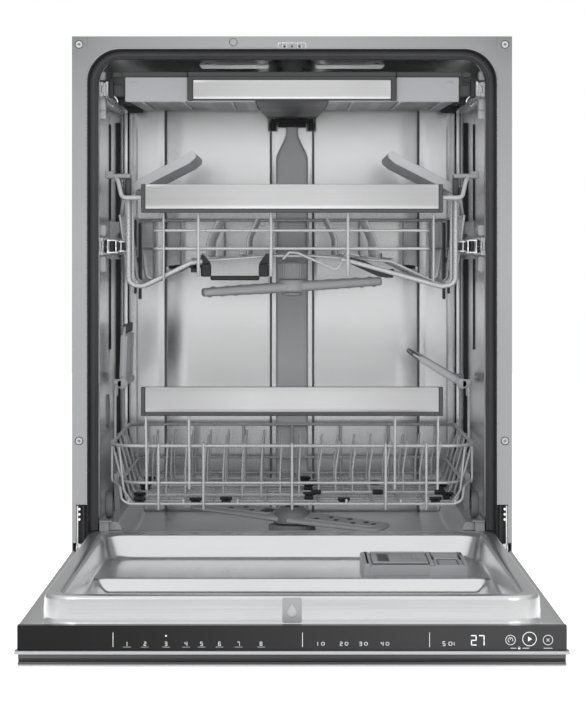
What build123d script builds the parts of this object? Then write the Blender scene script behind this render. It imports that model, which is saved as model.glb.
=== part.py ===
from build123d import *
import math
import os

# Built-in dishwasher, door open flat, racks pushed in.
# Millimetres. x to the right, y from the front towards the wall, z up, floor at z = 0.
# Modelled with the front flange in the plane y = 0, then shifted by SHIFT_Y on export,
# so that the origin is under the middle of the whole machine with its door open.

# ---------------------------------------------------------------- driving dimensions
SHIFT_Y = 72.0
HALF_W = 299.5          # half the width over the front flange
TOP_Z = 850.0           # top of the flange above the floor
BACK_Y = 553.0          # tips of the water connectors
SHEET = 1.0             # stainless sheet
TUB_HALF = 267.0        # half the inside width of the tub
TUB_BACK = 500.0        # inside face of the tub back wall
TUB_CEIL = 826.0        # inside face of the tub ceiling
TUB_FLOOR = 140.0       # wash floor
LEDGE_Z = 183.0         # side ledges that the lower rack's wheels run on
SILL_Z = 172.0
OPEN_HALF = 277.5       # flange opening, half width
OPEN_TOP = 831.5
OPEN_R = 44.0           # flange opening, top corner radius
SEAT_Y = 46.0           # depth of the gasket seat
HINGE_Z = 153.0         # door hinge axis height, in the plane y = 0
FIX_X, FIX_LOW, FIX_HIGH, FIX_R = 290.0, 299.0, 839.0, 2.75   # cabinet fixing holes

DOOR_FLANGE_Z = 151.0   # inside plane of the open door
DOOR_RIM_Z = 178.0      # top of the raised rim
DOOR_PAN_Z = 147.0      # bottom of the recess
DOOR_BASE_Z = 108.0     # outside face of the door
DOOR_TIP = -694.0       # face of the control strip
RIM_HALF, RIM_IN = 274.0, 252.0
RIM_NEAR, RIM_FAR = -24.0, -675.0

WIRE = 2.0              # rack wire radius
TINE = 1.6
LOW_FLOOR_Z = 207.0
LOW_RIM_Z = 289.0
LOW_MID_Z = 238.0
LOW_HALF, LOW_RIM_HALF = 228.0, 252.0
RACK_FRONT, RACK_BACK = 42.0, 470.0
WHEEL_R, WHEEL_Z, WHEEL_BORE = 19.0, 202.5, 3.05
WHEEL_Y = (110.0, 400.0)

UP_SIDE_Z, UP_MID_Z = 512.0, 552.0     # sloped floor of the upper rack, at the side and the middle
UP_RIM_Z = 605.0
RAIL_Z0, RAIL_Z1 = 552.0, 576.0
TRAY_Z = 765.0
TRAY_RAIL_Z0, TRAY_RAIL_Z1 = 771.0, 791.0

ARM_Y = 265.0           # spray arms turn about x = 0, y = ARM_Y
LOW_ARM_R = 165.0
UP_ARM_R = 132.0
SHAFT_R, BORE_R = 10.0, 10.06
PIN_R, EYE_R = 4.0, 4.05

FILTER_X, FILTER_Y, FILTER_R = 100.0, 165.0, 38.0
PUMP_X, PUMP_Y, PUMP_Z = -30.0, 350.0, 80.0

os.makedirs("parts", exist_ok=True)


# ---------------------------------------------------------------- helpers
def bx(x0, x1, y0, y1, z0, z1):
    return Pos((x0 + x1) / 2, (y0 + y1) / 2, (z0 + z1) / 2) * Box(
        abs(x1 - x0), abs(y1 - y0), abs(z1 - z0)
    )


def rod(p, q, r):
    p, q = Vector(*p), Vector(*q)
    d = q - p
    return Solid.make_cylinder(r, d.length, Plane(origin=p, z_dir=d.normalized()))


def cyl_z(x, y, z0, z1, r):
    return rod((x, y, z0), (x, y, z1), r)


def cyl_x(x0, x1, y, z, r):
    return rod((x0, y, z), (x1, y, z), r)


def cyl_y(x, y0, y1, z, r):
    return rod((x, y0, z), (x, y1, z), r)


def join(*shapes):
    flat = []
    for s in shapes:
        flat.extend(s if isinstance(s, (list, tuple)) else [s])
    return Part() + flat


def flip(s):
    return mirror(s, about=Plane.YZ)


def both(s):
    return [s, flip(s)]


def prism_y(points, y0, y1):
    """Polygon of (x, z) points, pushed from y0 to y1."""
    face = make_face(Polyline([(x, y0, z) for x, z in points], close=True))
    return extrude(face, amount=y1 - y0, dir=(0, 1, 0))


def prism_x(points, x0, x1):
    """Polygon of (y, z) points, pushed from x0 to x1."""
    face = make_face(Polyline([(x0, y, z) for y, z in points], close=True))
    return extrude(face, amount=x1 - x0, dir=(1, 0, 0))


def rounded(x0, x1, y0, y1, z0, z1, r):
    """Block with rounded upright edges."""
    return Pos((x0 + x1) / 2, (y0 + y1) / 2, z0) * extrude(
        RectangleRounded(x1 - x0, y1 - y0, r), amount=z1 - z0
    )


def plaque(x0, x1, z0, z1, y0, y1, r):
    """Plate facing the front, with rounded corners."""
    face = Plane(origin=((x0 + x1) / 2, y1, (z0 + z1) / 2), z_dir=(0, -1, 0), x_dir=(1, 0, 0))
    return extrude(face * RectangleRounded(x1 - x0, z1 - z0, r), amount=y1 - y0)


def save(name, *shapes):
    solids = []
    for s in shapes:
        for one in s if isinstance(s, (list, tuple)) else [s]:
            solids.extend(one.solids())
    whole = Compound(solids).moved(Location((0, SHIFT_Y, 0)))
    export_step(whole, "parts/%s.step" % name)


# ================================================================ cabinet
# Front flange: two stiles, a top rail and two corner gussets round the opening.
# The stiles are cut away beside the hinges, and carry the cabinet fixing holes.
stile = prism_y(
    [
        (-HALF_W, 160), (-294, 160), (-294, 212), (-OPEN_HALF, 212),
        (-OPEN_HALF, TOP_Z), (-HALF_W, TOP_Z),
    ],
    0, 1.2,
)
for z in (FIX_LOW, FIX_HIGH):
    stile -= cyl_y(-FIX_X, -1, 3, z, FIX_R)
rail = bx(-OPEN_HALF, OPEN_HALF, 0, 1.2, OPEN_TOP, TOP_Z) - bx(-15, 15, -1, 3, 830, 836.5)
gusset = bx(-OPEN_HALF, -OPEN_HALF + OPEN_R, 0, 1.2, OPEN_TOP - OPEN_R, OPEN_TOP) - cyl_y(
    -OPEN_HALF + OPEN_R, -1, 3, OPEN_TOP - OPEN_R, OPEN_R
)
save("front_flange", both(stile), rail, both(gusset))

# Tub wrapper: side walls and ceiling behind the gasket seat, and the wider entry in front of it.
wrap = []
wrap += both(bx(-TUB_HALF - SHEET, -TUB_HALF, SEAT_Y, TUB_BACK, LEDGE_Z, TUB_CEIL))
wrap.append(bx(-TUB_HALF - SHEET, TUB_HALF + SHEET, SEAT_Y, TUB_BACK, TUB_CEIL, TUB_CEIL + SHEET))
wrap += both(bx(-OPEN_HALF - SHEET, -OPEN_HALF, 1.2, SEAT_Y + SHEET, 212, OPEN_TOP))
wrap.append(
    bx(-OPEN_HALF - SHEET, OPEN_HALF + SHEET, 1.2, SEAT_Y + SHEET, OPEN_TOP, OPEN_TOP + SHEET)
    - bx(-15, 15, 0, 30, 830, 834)
)
wrap += both(bx(-OPEN_HALF, -TUB_HALF - SHEET, SEAT_Y, SEAT_Y + SHEET, LEDGE_Z, OPEN_TOP))
wrap.append(bx(-TUB_HALF - SHEET, TUB_HALF + SHEET, SEAT_Y, SEAT_Y + SHEET, TUB_CEIL + SHEET, OPEN_TOP))
save("tub_wrapper", wrap)

# Tub back wall, with the dished stiffening panel pressed into its middle.
back = bx(-TUB_HALF - SHEET, TUB_HALF + SHEET, TUB_BACK, TUB_BACK + SHEET, TUB_FLOOR - SHEET, TUB_CEIL + SHEET)
save("tub_back_wall", back)

# Tub floor: wash floor with the sump hole, sloped sides, wheel ledges, sill.
SL = 238.0
floor = bx(-SL, SL, SEAT_Y, TUB_BACK, TUB_FLOOR - SHEET, TUB_FLOOR) - cyl_z(FILTER_X, FILTER_Y, 130, 145, 60.0)
floor -= cyl_z(0, ARM_Y, 130, 145, 16.0)
slope = prism_y(
    [(-SL, TUB_FLOOR), (-SL, TUB_FLOOR - SHEET), (-244, LEDGE_Z - SHEET), (-244, LEDGE_Z)], SEAT_Y, TUB_BACK
)
ledge = bx(-TUB_HALF - SHEET, -244, SEAT_Y, TUB_BACK, LEDGE_Z - SHEET, LEDGE_Z)
sill_top = bx(-OPEN_HALF, OPEN_HALF, 2, SEAT_Y - SHEET, SILL_Z - SHEET, SILL_Z)
sill_rear = bx(-SL, SL, SEAT_Y - SHEET, SEAT_Y, TUB_FLOOR - SHEET, SILL_Z)
sill_front = bx(-OPEN_HALF, OPEN_HALF, 2, 3, 122, SILL_Z - SHEET)
save("tub_floor", floor, both(slope), both(ledge), sill_top, sill_rear, sill_front)

# Door gasket: one moulded loop up the sides and over the top, against the seat.
gasket_face = Plane(origin=(0, SEAT_Y - 0.2, 0), z_dir=(0, -1, 0), x_dir=(1, 0, 0))


def arch(half, top, r, low):
    h = top - low + 200
    return gasket_face * Pos(0, top - h / 2) * RectangleRounded(2 * half, h, r)


gasket = extrude(arch(OPEN_HALF - 0.3, OPEN_TOP - 0.3, OPEN_R - 0.3, 180), amount=18) - extrude(
    arch(OPEN_HALF - 12.5, OPEN_TOP - 12.0, 32, 180), amount=18
)
gasket -= bx(-400, 400, 0, 100, -100, LEDGE_Z + 0.5)
save("door_gasket", gasket)

# Galvanised side panels.
panel = bx(-HALF_W, -HALF_W + SHEET, 1.3, 548, 60, TOP_Z - 1)
save("side_panels", both(panel))

# Insulation blanket round the tub: two sides, top and back.
blanket = both(bx(-290, -TUB_HALF - SHEET - 0.4, 50, 498, 200, 820))
blanket.append(bx(-266, 266, 50, 500, TUB_CEIL + SHEET + 0.4, 846))
blanket.append(bx(-266, 266, TUB_BACK + SHEET + 0.4, 524, 150, 840))
save("insulation_blanket", blanket)

# Base tray: plastic tub under the machine, with leak floor, walls and tub bearers.
base = [bx(-296, 296, 50, 540, 18, 21)]
base += both(bx(-296, -293, 50, 540, 21, 181.5))
base.append(bx(-293, 293, 537, 540, 21, 138) - cyl_y(-215, 530, 545, 95, 15.0)
            - cyl_y(-150, 530, 545, 95, 11.0) - cyl_y(205, 530, 545, 95, 12.0))
base.append(bx(-293, 293, 50, 53, 21, 120))
base += both(bx(-293, -268.5, 60, 530, 172, 181.5))
# Kick plate, set back under the door and clipped to the tray.
base.append(bx(-296, 296, 46, 49.9, 22, 118))
save("base_tray", base)

# Screw feet.
feet = []
for x in (-262, 262):
    for y in (70, 505):
        feet.append(join(cyl_z(x, y, 0, 7, 21), cyl_z(x, y, 7, 18, 7)))
save("leveling_feet", feet)

# Sump cup below the wash floor, round the filter.
sump = cyl_z(FILTER_X, FILTER_Y, 62, TUB_FLOOR - SHEET, 66) - cyl_z(FILTER_X, FILTER_Y, 65, 145, 59.5)
save("sump", sump)

# Filter plate: fine sieve in the floor with the hole for the lift-out filter.
plate = cyl_z(FILTER_X, FILTER_Y, TUB_FLOOR + 0.2, TUB_FLOOR + 2.2, 78) - cyl_z(
    FILTER_X, FILTER_Y, TUB_FLOOR - 2, TUB_FLOOR + 5, FILTER_R + 1.0
)
save("filter_plate", plate)

# Lift-out filter cylinder with its grip; a part turn unlocks it.
basket = cyl_z(FILTER_X, FILTER_Y, 70, TUB_FLOOR + 4, FILTER_R) - cyl_z(
    FILTER_X, FILTER_Y, 72, TUB_FLOOR + 1.5, FILTER_R - 2
)
grip = bx(FILTER_X - 26, FILTER_X + 26, FILTER_Y - 3, FILTER_Y + 3, TUB_FLOOR + 4, TUB_FLOOR + 13)
basket -= cyl_z(FILTER_X, FILTER_Y + 20, TUB_FLOOR, TUB_FLOOR + 5, 9)
basket -= cyl_z(FILTER_X, FILTER_Y - 20, TUB_FLOOR, TUB_FLOOR + 5, 9)
save("filter_basket", join(basket, grip))

# Wash pump: volute, motor can and the riser to the lower spray arm.
volute = cyl_x(PUMP_X - 30, PUMP_X + 20, PUMP_Y, PUMP_Z, 50) - cyl_x(PUMP_X - 24, PUMP_X + 12, PUMP_Y, PUMP_Z, 44)
volute -= cyl_x(PUMP_X + 11, PUMP_X + 21, PUMP_Y, PUMP_Z, 5.06)
volute -= cyl_x(PUMP_X - 31, PUMP_X - 23, PUMP_Y, PUMP_Z, 18)
motor = cyl_x(PUMP_X + 20.5, PUMP_X + 118, PUMP_Y, PUMP_Z, 37)
riser = join(cyl_z(0, ARM_Y, 84, TUB_FLOOR + 1.0, 15), rod((0, ARM_Y, 100), (-14, PUMP_Y - 52, 100), 13))
save("wash_pump", volute, motor, riser)

# Pump impeller: back disc, six vanes and the shaft.
imp = [cyl_x(PUMP_X - 4, PUMP_X, PUMP_Y, PUMP_Z, 41), cyl_x(PUMP_X - 18, PUMP_X + 19.5, PUMP_Y, PUMP_Z, 5)]
for k in range(6):
    vane = Pos(PUMP_X - 11, PUMP_Y, PUMP_Z) * Rot(60 * k, 0, 0) * Pos(0, 0, 22) * Box(15, 2.4, 35)
    imp.append(vane)
save("pump_impeller", join(imp))

# Drain pump beside the sump, with the pipe to its spigot.
# The spigot for the waste hose stands out at the back.
save(
    "drain_pump",
    join(cyl_y(-150, 205, 265, 66, 30), cyl_y(-150, 264, 330, 66, 22), cyl_y(-150, 150, 206, 66, 14)),
    join(cyl_y(-150, 470, BACK_Y, 95, 9.5), cyl_y(-150, 526, 536.6, 95, 17)),
)

# Water inlet valve, its 3/4 inch hose thread standing out at the back.
save("inlet_valve", join(bx(-240, -190, 470, 528, 68, 122), cyl_y(-215, 527, BACK_Y, 95, 13.2)))

# Mains terminal box with the cord gland at the back.
box = join(bx(160, 250, 450, 536.6, 55, 135), cyl_y(205, 536, 548, 95, 11.5)) - cyl_y(205, 518, 549, 95, 4.5)
save("terminal_box", box)

# Water duct up the back wall, along the ceiling to the top spray head, and the lower arm's post.
duct = prism_y(
    [(-25, 141.5), (25, 141.5), (25, 704), (9, 741), (9, 768), (-9, 768), (-9, 741), (-25, 704)], 480, 499.6
)
up_duct = bx(-9, 9, 482, 499.6, 768.2, 805.8)
top_duct = bx(-9, 9, ARM_Y + 26.2, 499.6, 806, 816)
head = cyl_z(0, ARM_Y, 803, 825.8, 26)
post = join(cyl_z(0, ARM_Y, 141.2, 157.6, 14), cyl_z(0, ARM_Y, 157, 184, SHAFT_R))
save("water_duct", duct, up_duct, top_duct, head, post)

# Telescopic rails fixed to the tub walls: one pair for the upper rack, one for the top tray.
def fixed_rail(z0, z1):
    r = bx(-266.6, -261, 50, 490, z0, z1) - bx(-263.5, -260, 49, 491, z0 + 5.5, z1 - 5.5)
    return both(r)


save("fixed_rails", fixed_rail(RAIL_Z0, RAIL_Z1), fixed_rail(TRAY_RAIL_Z0, TRAY_RAIL_Z1))


def middle_rail(z0, z1):
    r = join(bx(-260.6, -256.4, 52, 486, z0 + 1, z1 - 1), bx(-263, -260.5, 52, 486, z0 + 6, z1 - 6))
    return both(r)


save("upper_middle_rails", middle_rail(RAIL_Z0, RAIL_Z1))
save("tray_middle_rails", middle_rail(TRAY_RAIL_Z0, TRAY_RAIL_Z1))

# Hinge brackets: two cheeks, a web and the hinge pin on each side.
cheeks = join(
    bx(-285.6, -283.6, -1, 38, 138, 200), cyl_x(-285.6, -283.6, 0, HINGE_Z, 8),
    bx(-293.8, -292, -1, 38, 138, 200), cyl_x(-293.8, -292, 0, HINGE_Z, 8),
    bx(-293.8, -283.6, 36, 38, 138, 200),
    cyl_x(-293.8, -283.6, 0, HINGE_Z, PIN_R),
)
save("hinge_brackets", both(cheeks))

# Door balance springs along the base, drawn at their door-open length.
spring = join(
    cyl_y(-284, 66, 300, 46, 8) - cyl_y(-284, 70, 296, 46, 6),
    cyl_y(-284, 54, 67, 46, 1.5), cyl_y(-284, 299, 330, 46, 1.5),
)
save("door_springs", both(spring))

# Latch keeper: fork on the top rail that the door's catch enters.
keeper = join(
    bx(-20, -15.3, -1.5, 0, 832, 842), bx(15.3, 20, -1.5, 0, 832, 842), bx(-20, 20, -1.5, 0, 836.7, 842)
)
save("latch_keeper", keeper)

# ================================================================ door (open, lying flat)
# Inner panel: flange, raised rim and the recess inside it, with the dispenser's cut-out.
DISP = (89.0, 221.0, -265.0, -140.0)


def ring(half_o, far_o, near_o, r_o, half_i, far_i, near_i, r_i, z0, z1):
    return rounded(-half_o, half_o, far_o, near_o, z0, z1, r_o) - rounded(
        -half_i, half_i, far_i, near_i, z0 - 1, z1 + 1, r_i
    )


flange = bx(-298, 298, -683, -10, DOOR_FLANGE_Z - SHEET, DOOR_FLANGE_Z) - rounded(
    -RIM_HALF + 1, RIM_HALF - 1, RIM_FAR + 1, RIM_NEAR - 1, 140, 160, 39
)
outer = ring(RIM_HALF, RIM_FAR, RIM_NEAR, 40, RIM_HALF - 1, RIM_FAR + 1, RIM_NEAR - 1, 39,
             DOOR_FLANGE_Z - SHEET, DOOR_RIM_Z)
crown = ring(RIM_HALF, RIM_FAR, RIM_NEAR, 40, RIM_IN, RIM_FAR + 22, RIM_NEAR - 22, 24,
             DOOR_RIM_Z - SHEET, DOOR_RIM_Z)
inner = ring(RIM_IN + 1, RIM_FAR + 21, RIM_NEAR - 21, 25, RIM_IN, RIM_FAR + 22, RIM_NEAR - 22, 24,
             DOOR_PAN_Z - SHEET, DOOR_RIM_Z)
pan = rounded(-RIM_IN - 1, RIM_IN + 1, RIM_FAR + 21, RIM_NEAR - 21, DOOR_PAN_Z - SHEET, DOOR_PAN_Z, 25)
pan -= bx(DISP[0] + 2.5, DISP[1] - 2.5, DISP[2] + 2.5, DISP[3] - 2.5, 130, 160)
sheet = join(flange, outer, crown, inner, pan)
sheet -= bx(-9, 9, RIM_FAR - 1, RIM_FAR + 3, 156, 172)
save("door_inner_panel", sheet)

# Outer panel: shallow pan closing the door from outside.
outside = [bx(-298.5, 298.5, -690, -10, DOOR_BASE_Z, DOOR_BASE_Z + 1.2)]
outside += both(bx(-298.5, -297.3, -683, -10, DOOR_BASE_Z + 1.2, DOOR_FLANGE_Z - 1.3))
outside.append(bx(-278, 278, -11.2, -10, DOOR_BASE_Z + 1.2, DOOR_FLANGE_Z - 1.3))
outside.append(bx(-298.5, 298.5, -690, -688.8, DOOR_BASE_Z + 1.2, 119.5))
save("door_outer_panel", outside)

# Control strip across the door's top edge.
fascia = bx(-298, 298, DOOR_TIP, -683.4, 124.6, DOOR_FLANGE_Z)
save("control_fascia", fascia)

# Bright trim strip under it.
save("fascia_trim", bx(-301, 301, -697, -683.4, 120.0, 124.3))

# Control board behind the strip.
save("control_board", join(bx(-70, 280, -682, -645, 116, 118), bx(-50, 40, -678, -655, 117.9, 126), bx(90, 150, -678, -655, 117.9, 130)))

# Dispenser: bezel on the recess, body below it, detergent well.
disp = join(
    rounded(DISP[0], DISP[1], DISP[2], DISP[3], DOOR_PAN_Z + 0.05, 163, 6),
    bx(DISP[0] + 3, DISP[1] - 3, DISP[2] + 3, DISP[3] - 3, 113, DOOR_PAN_Z + 1),
)
disp -= rounded(DISP[0] + 9, 166, -250, -160, 128, 170, 5)
disp -= bx(181, 213, -206, -166, 161, 170)
disp -= cyl_z(197, -188, 140, 165, 9)
save("dispenser_body", disp)

# Sliding lid over the detergent well.
lid = join(rounded(DISP[0] + 4, 171, -256, -154, 163.3, 166.3, 4), bx(DISP[0] + 16, 160, -172, -166, 166, 168.5))
save("detergent_lid", lid)

# Flap over the rinse-aid filler, hinged on a pin at its near side.
flap = join(bx(182, 212, -205.4, -171, 161.4, 164), cyl_x(182, 212, -170, 163.2, 1.8))
save("rinse_aid_flap", flap)

# Latch insert in the rim's far wall and its sprung catch.
insert = bx(-10.5, 10.5, RIM_FAR - 1.4, RIM_FAR - 0.05, 152, 177.4) - bx(-5.2, 5.2, RIM_FAR - 3, RIM_FAR + 3, 158.8, 169.2)
guide = bx(-8.5, 8.5, RIM_FAR + 1.3, RIM_FAR + 19, 156.5, 171.5) - bx(-5.2, 5.2, RIM_FAR, RIM_FAR + 20, 158.8, 169.2)
save("latch_insert", insert, guide)
catch = bx(-5, 5, RIM_FAR - 0.5, RIM_FAR + 14, 159, 169)
nose = rod((0, RIM_FAR - 1, 159.4), (0, RIM_FAR - 1, 168.6), 3.6)
save("latch_catch", join(catch, nose))

# Hinge arms, turning on the bracket pins and bolted inside the door.
arm = join(
    cyl_x(-291, -286.6, 0, HINGE_Z, 8), bx(-291, -286.6, -9.6, -2, 145.5, 152),
    bx(-291, -286.6, -130, -8, 136, DOOR_FLANGE_Z - 1.3),
) - cyl_x(-295, -283, 0, HINGE_Z, EYE_R)
save("hinge_arms", both(arm))

# ================================================================ lower rack
def grid(along, across=(), r=WIRE):
    """Welded wires: the crossing ones are a little thinner."""
    return join([rod(p, q, r) for p, q in along] + [rod(p, q, r - 0.25) for p, q in across])


# Floor: crossed wires in one plane.
along = [((x, RACK_FRONT + 4, LOW_FLOOR_Z), (x, RACK_BACK - 4, LOW_FLOOR_Z)) for x in (-225, -150, -75, 0, 75, 150, 225)]
across = [((-LOW_HALF, y, LOW_FLOOR_Z), (LOW_HALF, y, LOW_FLOOR_Z)) for y in (52, 118, 188, 258, 328, 398, 460)]
save("lower_rack_floor", grid(along, across))

# Walls: flat wire panels for the front, the two cut-off corners, the leaning sides and the back.
FRONT_HALF = 213.0


def lean(z):
    return LOW_HALF + (LOW_RIM_HALF - LOW_HALF) * (z - LOW_FLOOR_Z) / (LOW_RIM_Z - LOW_FLOOR_Z)


front = [((-FRONT_HALF, RACK_FRONT, z), (FRONT_HALF, RACK_FRONT, z)) for z in (LOW_RIM_Z, LOW_MID_Z, 211.0)]
front_up = [((x, RACK_FRONT, 202.0), (x, RACK_FRONT, LOW_RIM_Z + 0.6)) for x in (-184, -122, 0, 129, 185)]
side = [((-lean(z), 88, z), (-lean(z), 452, z)) for z in (LOW_RIM_Z, LOW_MID_Z, 214.0)]
side_up = [((-lean(205.0), y, 205.0), (-lean(LOW_RIM_Z + 0.6), y, LOW_RIM_Z + 0.6)) for y in (92, 163, 234, 306, 377, 448)]
corner = [((-FRONT_HALF - 2.6, RACK_FRONT + 3.2, z), (-247, 84, z)) for z in (LOW_RIM_Z, LOW_MID_Z)]
corner_up = [((-FRONT_HALF - 14, RACK_FRONT + 16.8, LOW_MID_Z - 1), (-FRONT_HALF - 14, RACK_FRONT + 16.8, LOW_RIM_Z + 0.6))]
rear = [((-LOW_HALF, RACK_BACK, z), (LOW_HALF, RACK_BACK, z)) for z in (LOW_RIM_Z, LOW_MID_Z, 213.0)]
rear_up = [((x, RACK_BACK, 205.0), (x, RACK_BACK, LOW_RIM_Z + 0.6)) for x in (-225, -112, 0, 112, 225)]
# Upright frames above the side rims, which carry the hinged stemware supports.
post_bar = rod((-252, 156, 368), (-252, 344, 368), WIRE)
post_up = [rod((-252, y, LOW_RIM_Z + 2.2), (-252, y, 367.95 - WIRE), WIRE - 0.25) for y in (160, 340)]
walls = [grid(front, front_up), both(grid(side, side_up)), both(grid(corner, corner_up)), grid(rear, rear_up)]
walls += [both(post_bar)] + [both(p) for p in post_up]

# Fixed plate prongs, in three rows over the left and middle.
tines = []
for y in (150, 290, 400):
    for k in range(9):
        x = -206 + 27 * k
        tines.append(rod((x, y, LOW_FLOOR_Z + 2.4), (x, y, 284), TINE))
base_wires = [cyl_x(-212, 16, y, LOW_FLOOR_Z + 3.9, 1.5) for y in (147, 287, 397)]
save("lower_rack_walls", *walls, tines, base_wires)

# Folding prongs on the right: two rows, each turning down on its own rod.
def fold_row(y):
    row = [cyl_x(30, 214, y, 215.0, 2.2)]
    for k in range(8):
        x = 38 + 24 * k
        row.append(rod((x, y, 215.0), (x, y, 286), TINE))
    return join(row)


FOLD_Y = (150.0, 290.0)
save("fold_tines_front", fold_row(FOLD_Y[0]))
save("fold_tines_rear", fold_row(FOLD_Y[1]))

# Handle: brushed face plate in a dark frame, on rods from the front rim.
def handle(half, z0, z1, zrim, rods, rim_y):
    plate = bx(-half, half, 20, 21.2, z0, z1)
    frame = join(
        bx(-half - 6, half + 6, 20.4, 31, z0 - 5.5, z0 - 0.3),
        bx(-half - 6, -half - 0.3, 20.4, 31, z0 - 5.5, z1),
        bx(half + 0.3, half + 6, 20.4, 31, z0 - 5.5, z1),
        bx(-half - 6, half + 6, 21.6, 31, z1 - 7, z1),
    )
    legs = [rod((x, 26, z0 - 5.6), (x, rim_y, zrim), 2.0) for x in rods]
    return plate, frame, legs


plate, frame, legs = handle(201, 337, 371, LOW_RIM_Z + 0.5, (-196, -182, 182, 196), RACK_FRONT - 1)
save("lower_handle_plate", plate)
save("lower_handle_frame", frame, legs)

# Wheel carriers on the sides, with axle pins, and the wheels on them.
carriers = []
for y in WHEEL_Y:
    carriers += both(
        join(bx(-249, -241, y - 26, y + 26, 192, 248), cyl_x(-263, -248, y, WHEEL_Z, 3.0), cyl_x(-263.6, -262.2, y, WHEEL_Z, 5.0))
    )
save("wheel_carriers", carriers)


def wheel(y):
    w = cyl_x(-261.8, -249.6, y, WHEEL_Z, WHEEL_R) - cyl_x(-270, -240, y, WHEEL_Z, WHEEL_BORE)
    w -= cyl_x(-270, -258.8, y, WHEEL_Z, 15.0) - cyl_x(-270, -240, y, WHEEL_Z, 6.0)
    return both(w)


save("front_wheels", wheel(WHEEL_Y[0]))
save("rear_wheels", wheel(WHEEL_Y[1]))

# Stemware supports: comb plates hinged on the upright frames. The left one is folded up,
# the right one is swung down.
STEM_X, STEM_Z = 243.0, 368.0


def stem_comb(n, length, thick):
    plate = bx(4, length, 175, 325, -thick / 2, thick / 2)
    for k in range(n):
        plate -= cyl_z(length - 2, 175 + (k + 0.5) * 150.0 / n, -20, 20, 13)
    return join(plate, cyl_y(0, 172, 328, 0, 4.4))


comb = stem_comb(4, 84, 7)
# a: angle of the plate above the horizontal, in the view from the front
stem_l = Pos(-STEM_X + 0.2, 0, STEM_Z) * Rot(0, -88, 0) * comb
stem_r = flip(Pos(-STEM_X + 0.2, 0, STEM_Z) * Rot(0, -31, 0) * comb)
save("stem_support_left", stem_l)
save("stem_support_right", stem_r)

# ================================================================ upper rack
# Floor: two wire panels that fall from the middle to the sides.
def up_z(x):
    return UP_MID_Z - (UP_MID_Z - UP_SIDE_Z) * (abs(x) - 22.0) / (222.0 - 22.0)


along = [((x, RACK_FRONT + 4, up_z(x)), (x, RACK_BACK - 4, up_z(x))) for x in (-220, -172, -122, -72, -24)]
across = [((-222, y, up_z(-222)), (-22, y, up_z(-22))) for y in (60, 125, 190, 255, 320, 385, 455)]
save("upper_rack_floor", both(grid(along, across)))

# Walls: front, back and sides, plus the cup prongs over the middle.
front = [((-190, RACK_FRONT, z), (190, RACK_FRONT, z)) for z in (586.0, 561.0)]
front_up = [((x, RACK_FRONT, up_z(x) - 2), (x, RACK_FRONT, 586.6)) for x in (-187, -129, -29, 77, 187)]
rear = [((-222, RACK_BACK, z), (222, RACK_BACK, z)) for z in (UP_RIM_Z, 561.0)]
rear_up = [((x, RACK_BACK, up_z(x) - 2), (x, RACK_BACK, UP_RIM_Z + 0.6)) for x in (-219, -120, -40, 40, 120, 219)]


def up_lean(z):
    return 224.0 + 14.0 * (z - UP_SIDE_Z) / (UP_RIM_Z - UP_SIDE_Z)


side = [((-up_lean(z), 68, z), (-up_lean(z), 464, z)) for z in (UP_RIM_Z, 561.0)]
side_up = [((-up_lean(508.0), y, 508.0), (-up_lean(UP_RIM_Z + 0.6), y, UP_RIM_Z + 0.6)) for y in (72, 148, 226, 305, 384, 460)]
corner = [((-193.4, RACK_FRONT + 2.4, 586.0), (-231.0, 64, 586.0)), ((-193.4, RACK_FRONT + 2.4, 561.0), (-231.0, 64, 561.0))]
corner_up = [((-212, 54.3, 560.0), (-212, 54.3, 586.6))]
walls = [grid(front, front_up), grid(rear, rear_up), both(grid(side, side_up)), both(grid(corner, corner_up))]
# Posts on the side rims, at the ends of the cup shelves' hinge rods.
walls += [both(rod((-up_lean(UP_RIM_Z), y, UP_RIM_Z + 2.2), (-228.0, y, 650), WIRE - 0.25)) for y in (75.2, 334.8)]

tines = []
for x in (-118, -62, 62, 118):
    for k in range(8):
        y = 92 + 46 * k
        tines.append(rod((x, y, up_z(x) + 1.0), (x + (14 if x < 0 else -14), y, up_z(x) + 52), TINE))
save("upper_rack_walls", *walls, tines)

plate, frame, legs = handle(201, 615.5, 649, 587.0, (-196, -184, 184, 196), RACK_FRONT - 1)
save("upper_handle_plate", plate)
save("upper_handle_frame", frame, legs)

# Inner rail members on the rack, with their brackets.
rails = []
for s in (1,):
    rails += both(
        join(
            bx(-256, -252.2, 52, 482, RAIL_Z0 + 1, RAIL_Z1 - 1),
            bx(-252.4, -229, 112, 136, RAIL_Z0 + 5, RAIL_Z1 - 3),
            bx(-252.4, -229, 396, 420, RAIL_Z0 + 5, RAIL_Z1 - 3),
        )
    )
save("upper_rack_rails", rails)

# Feed pipe under the rack: docks with the duct at the back, carries the middle spray arm.
feed = join(
    bx(-13, 13, ARM_Y, 479.4, 520, 540), cyl_z(0, ARM_Y, 516.5, 541, 21), cyl_z(0, ARM_Y, 496.6, 517, SHAFT_R),
    cyl_z(0, ARM_Y, 492, 497, 15),
)
save("feed_pipe", feed)

# Cup shelves, hinged along the sides and swung down.
CUP_X, CUP_Z, CUP_TILT = 226.0, 643.0, 27.0


def cup_plate():
    plate = join(bx(3, 104, 80, 330, -3.5, 3.5), bx(93, 104, 80, 330, -3.5, 9.0))
    for k in range(6):
        plate -= bx(22, 84, 92 + 40 * k, 92 + 40 * k + 26, -20, 20)
    return join(plate, cyl_y(0, 80, 330, 0, 4.2))


cup_l = Pos(-CUP_X, 0, CUP_Z) * Rot(0, -CUP_TILT, 0) * cup_plate()
save("cup_shelf_left", cup_l)
save("cup_shelf_right", flip(cup_l))

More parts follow.
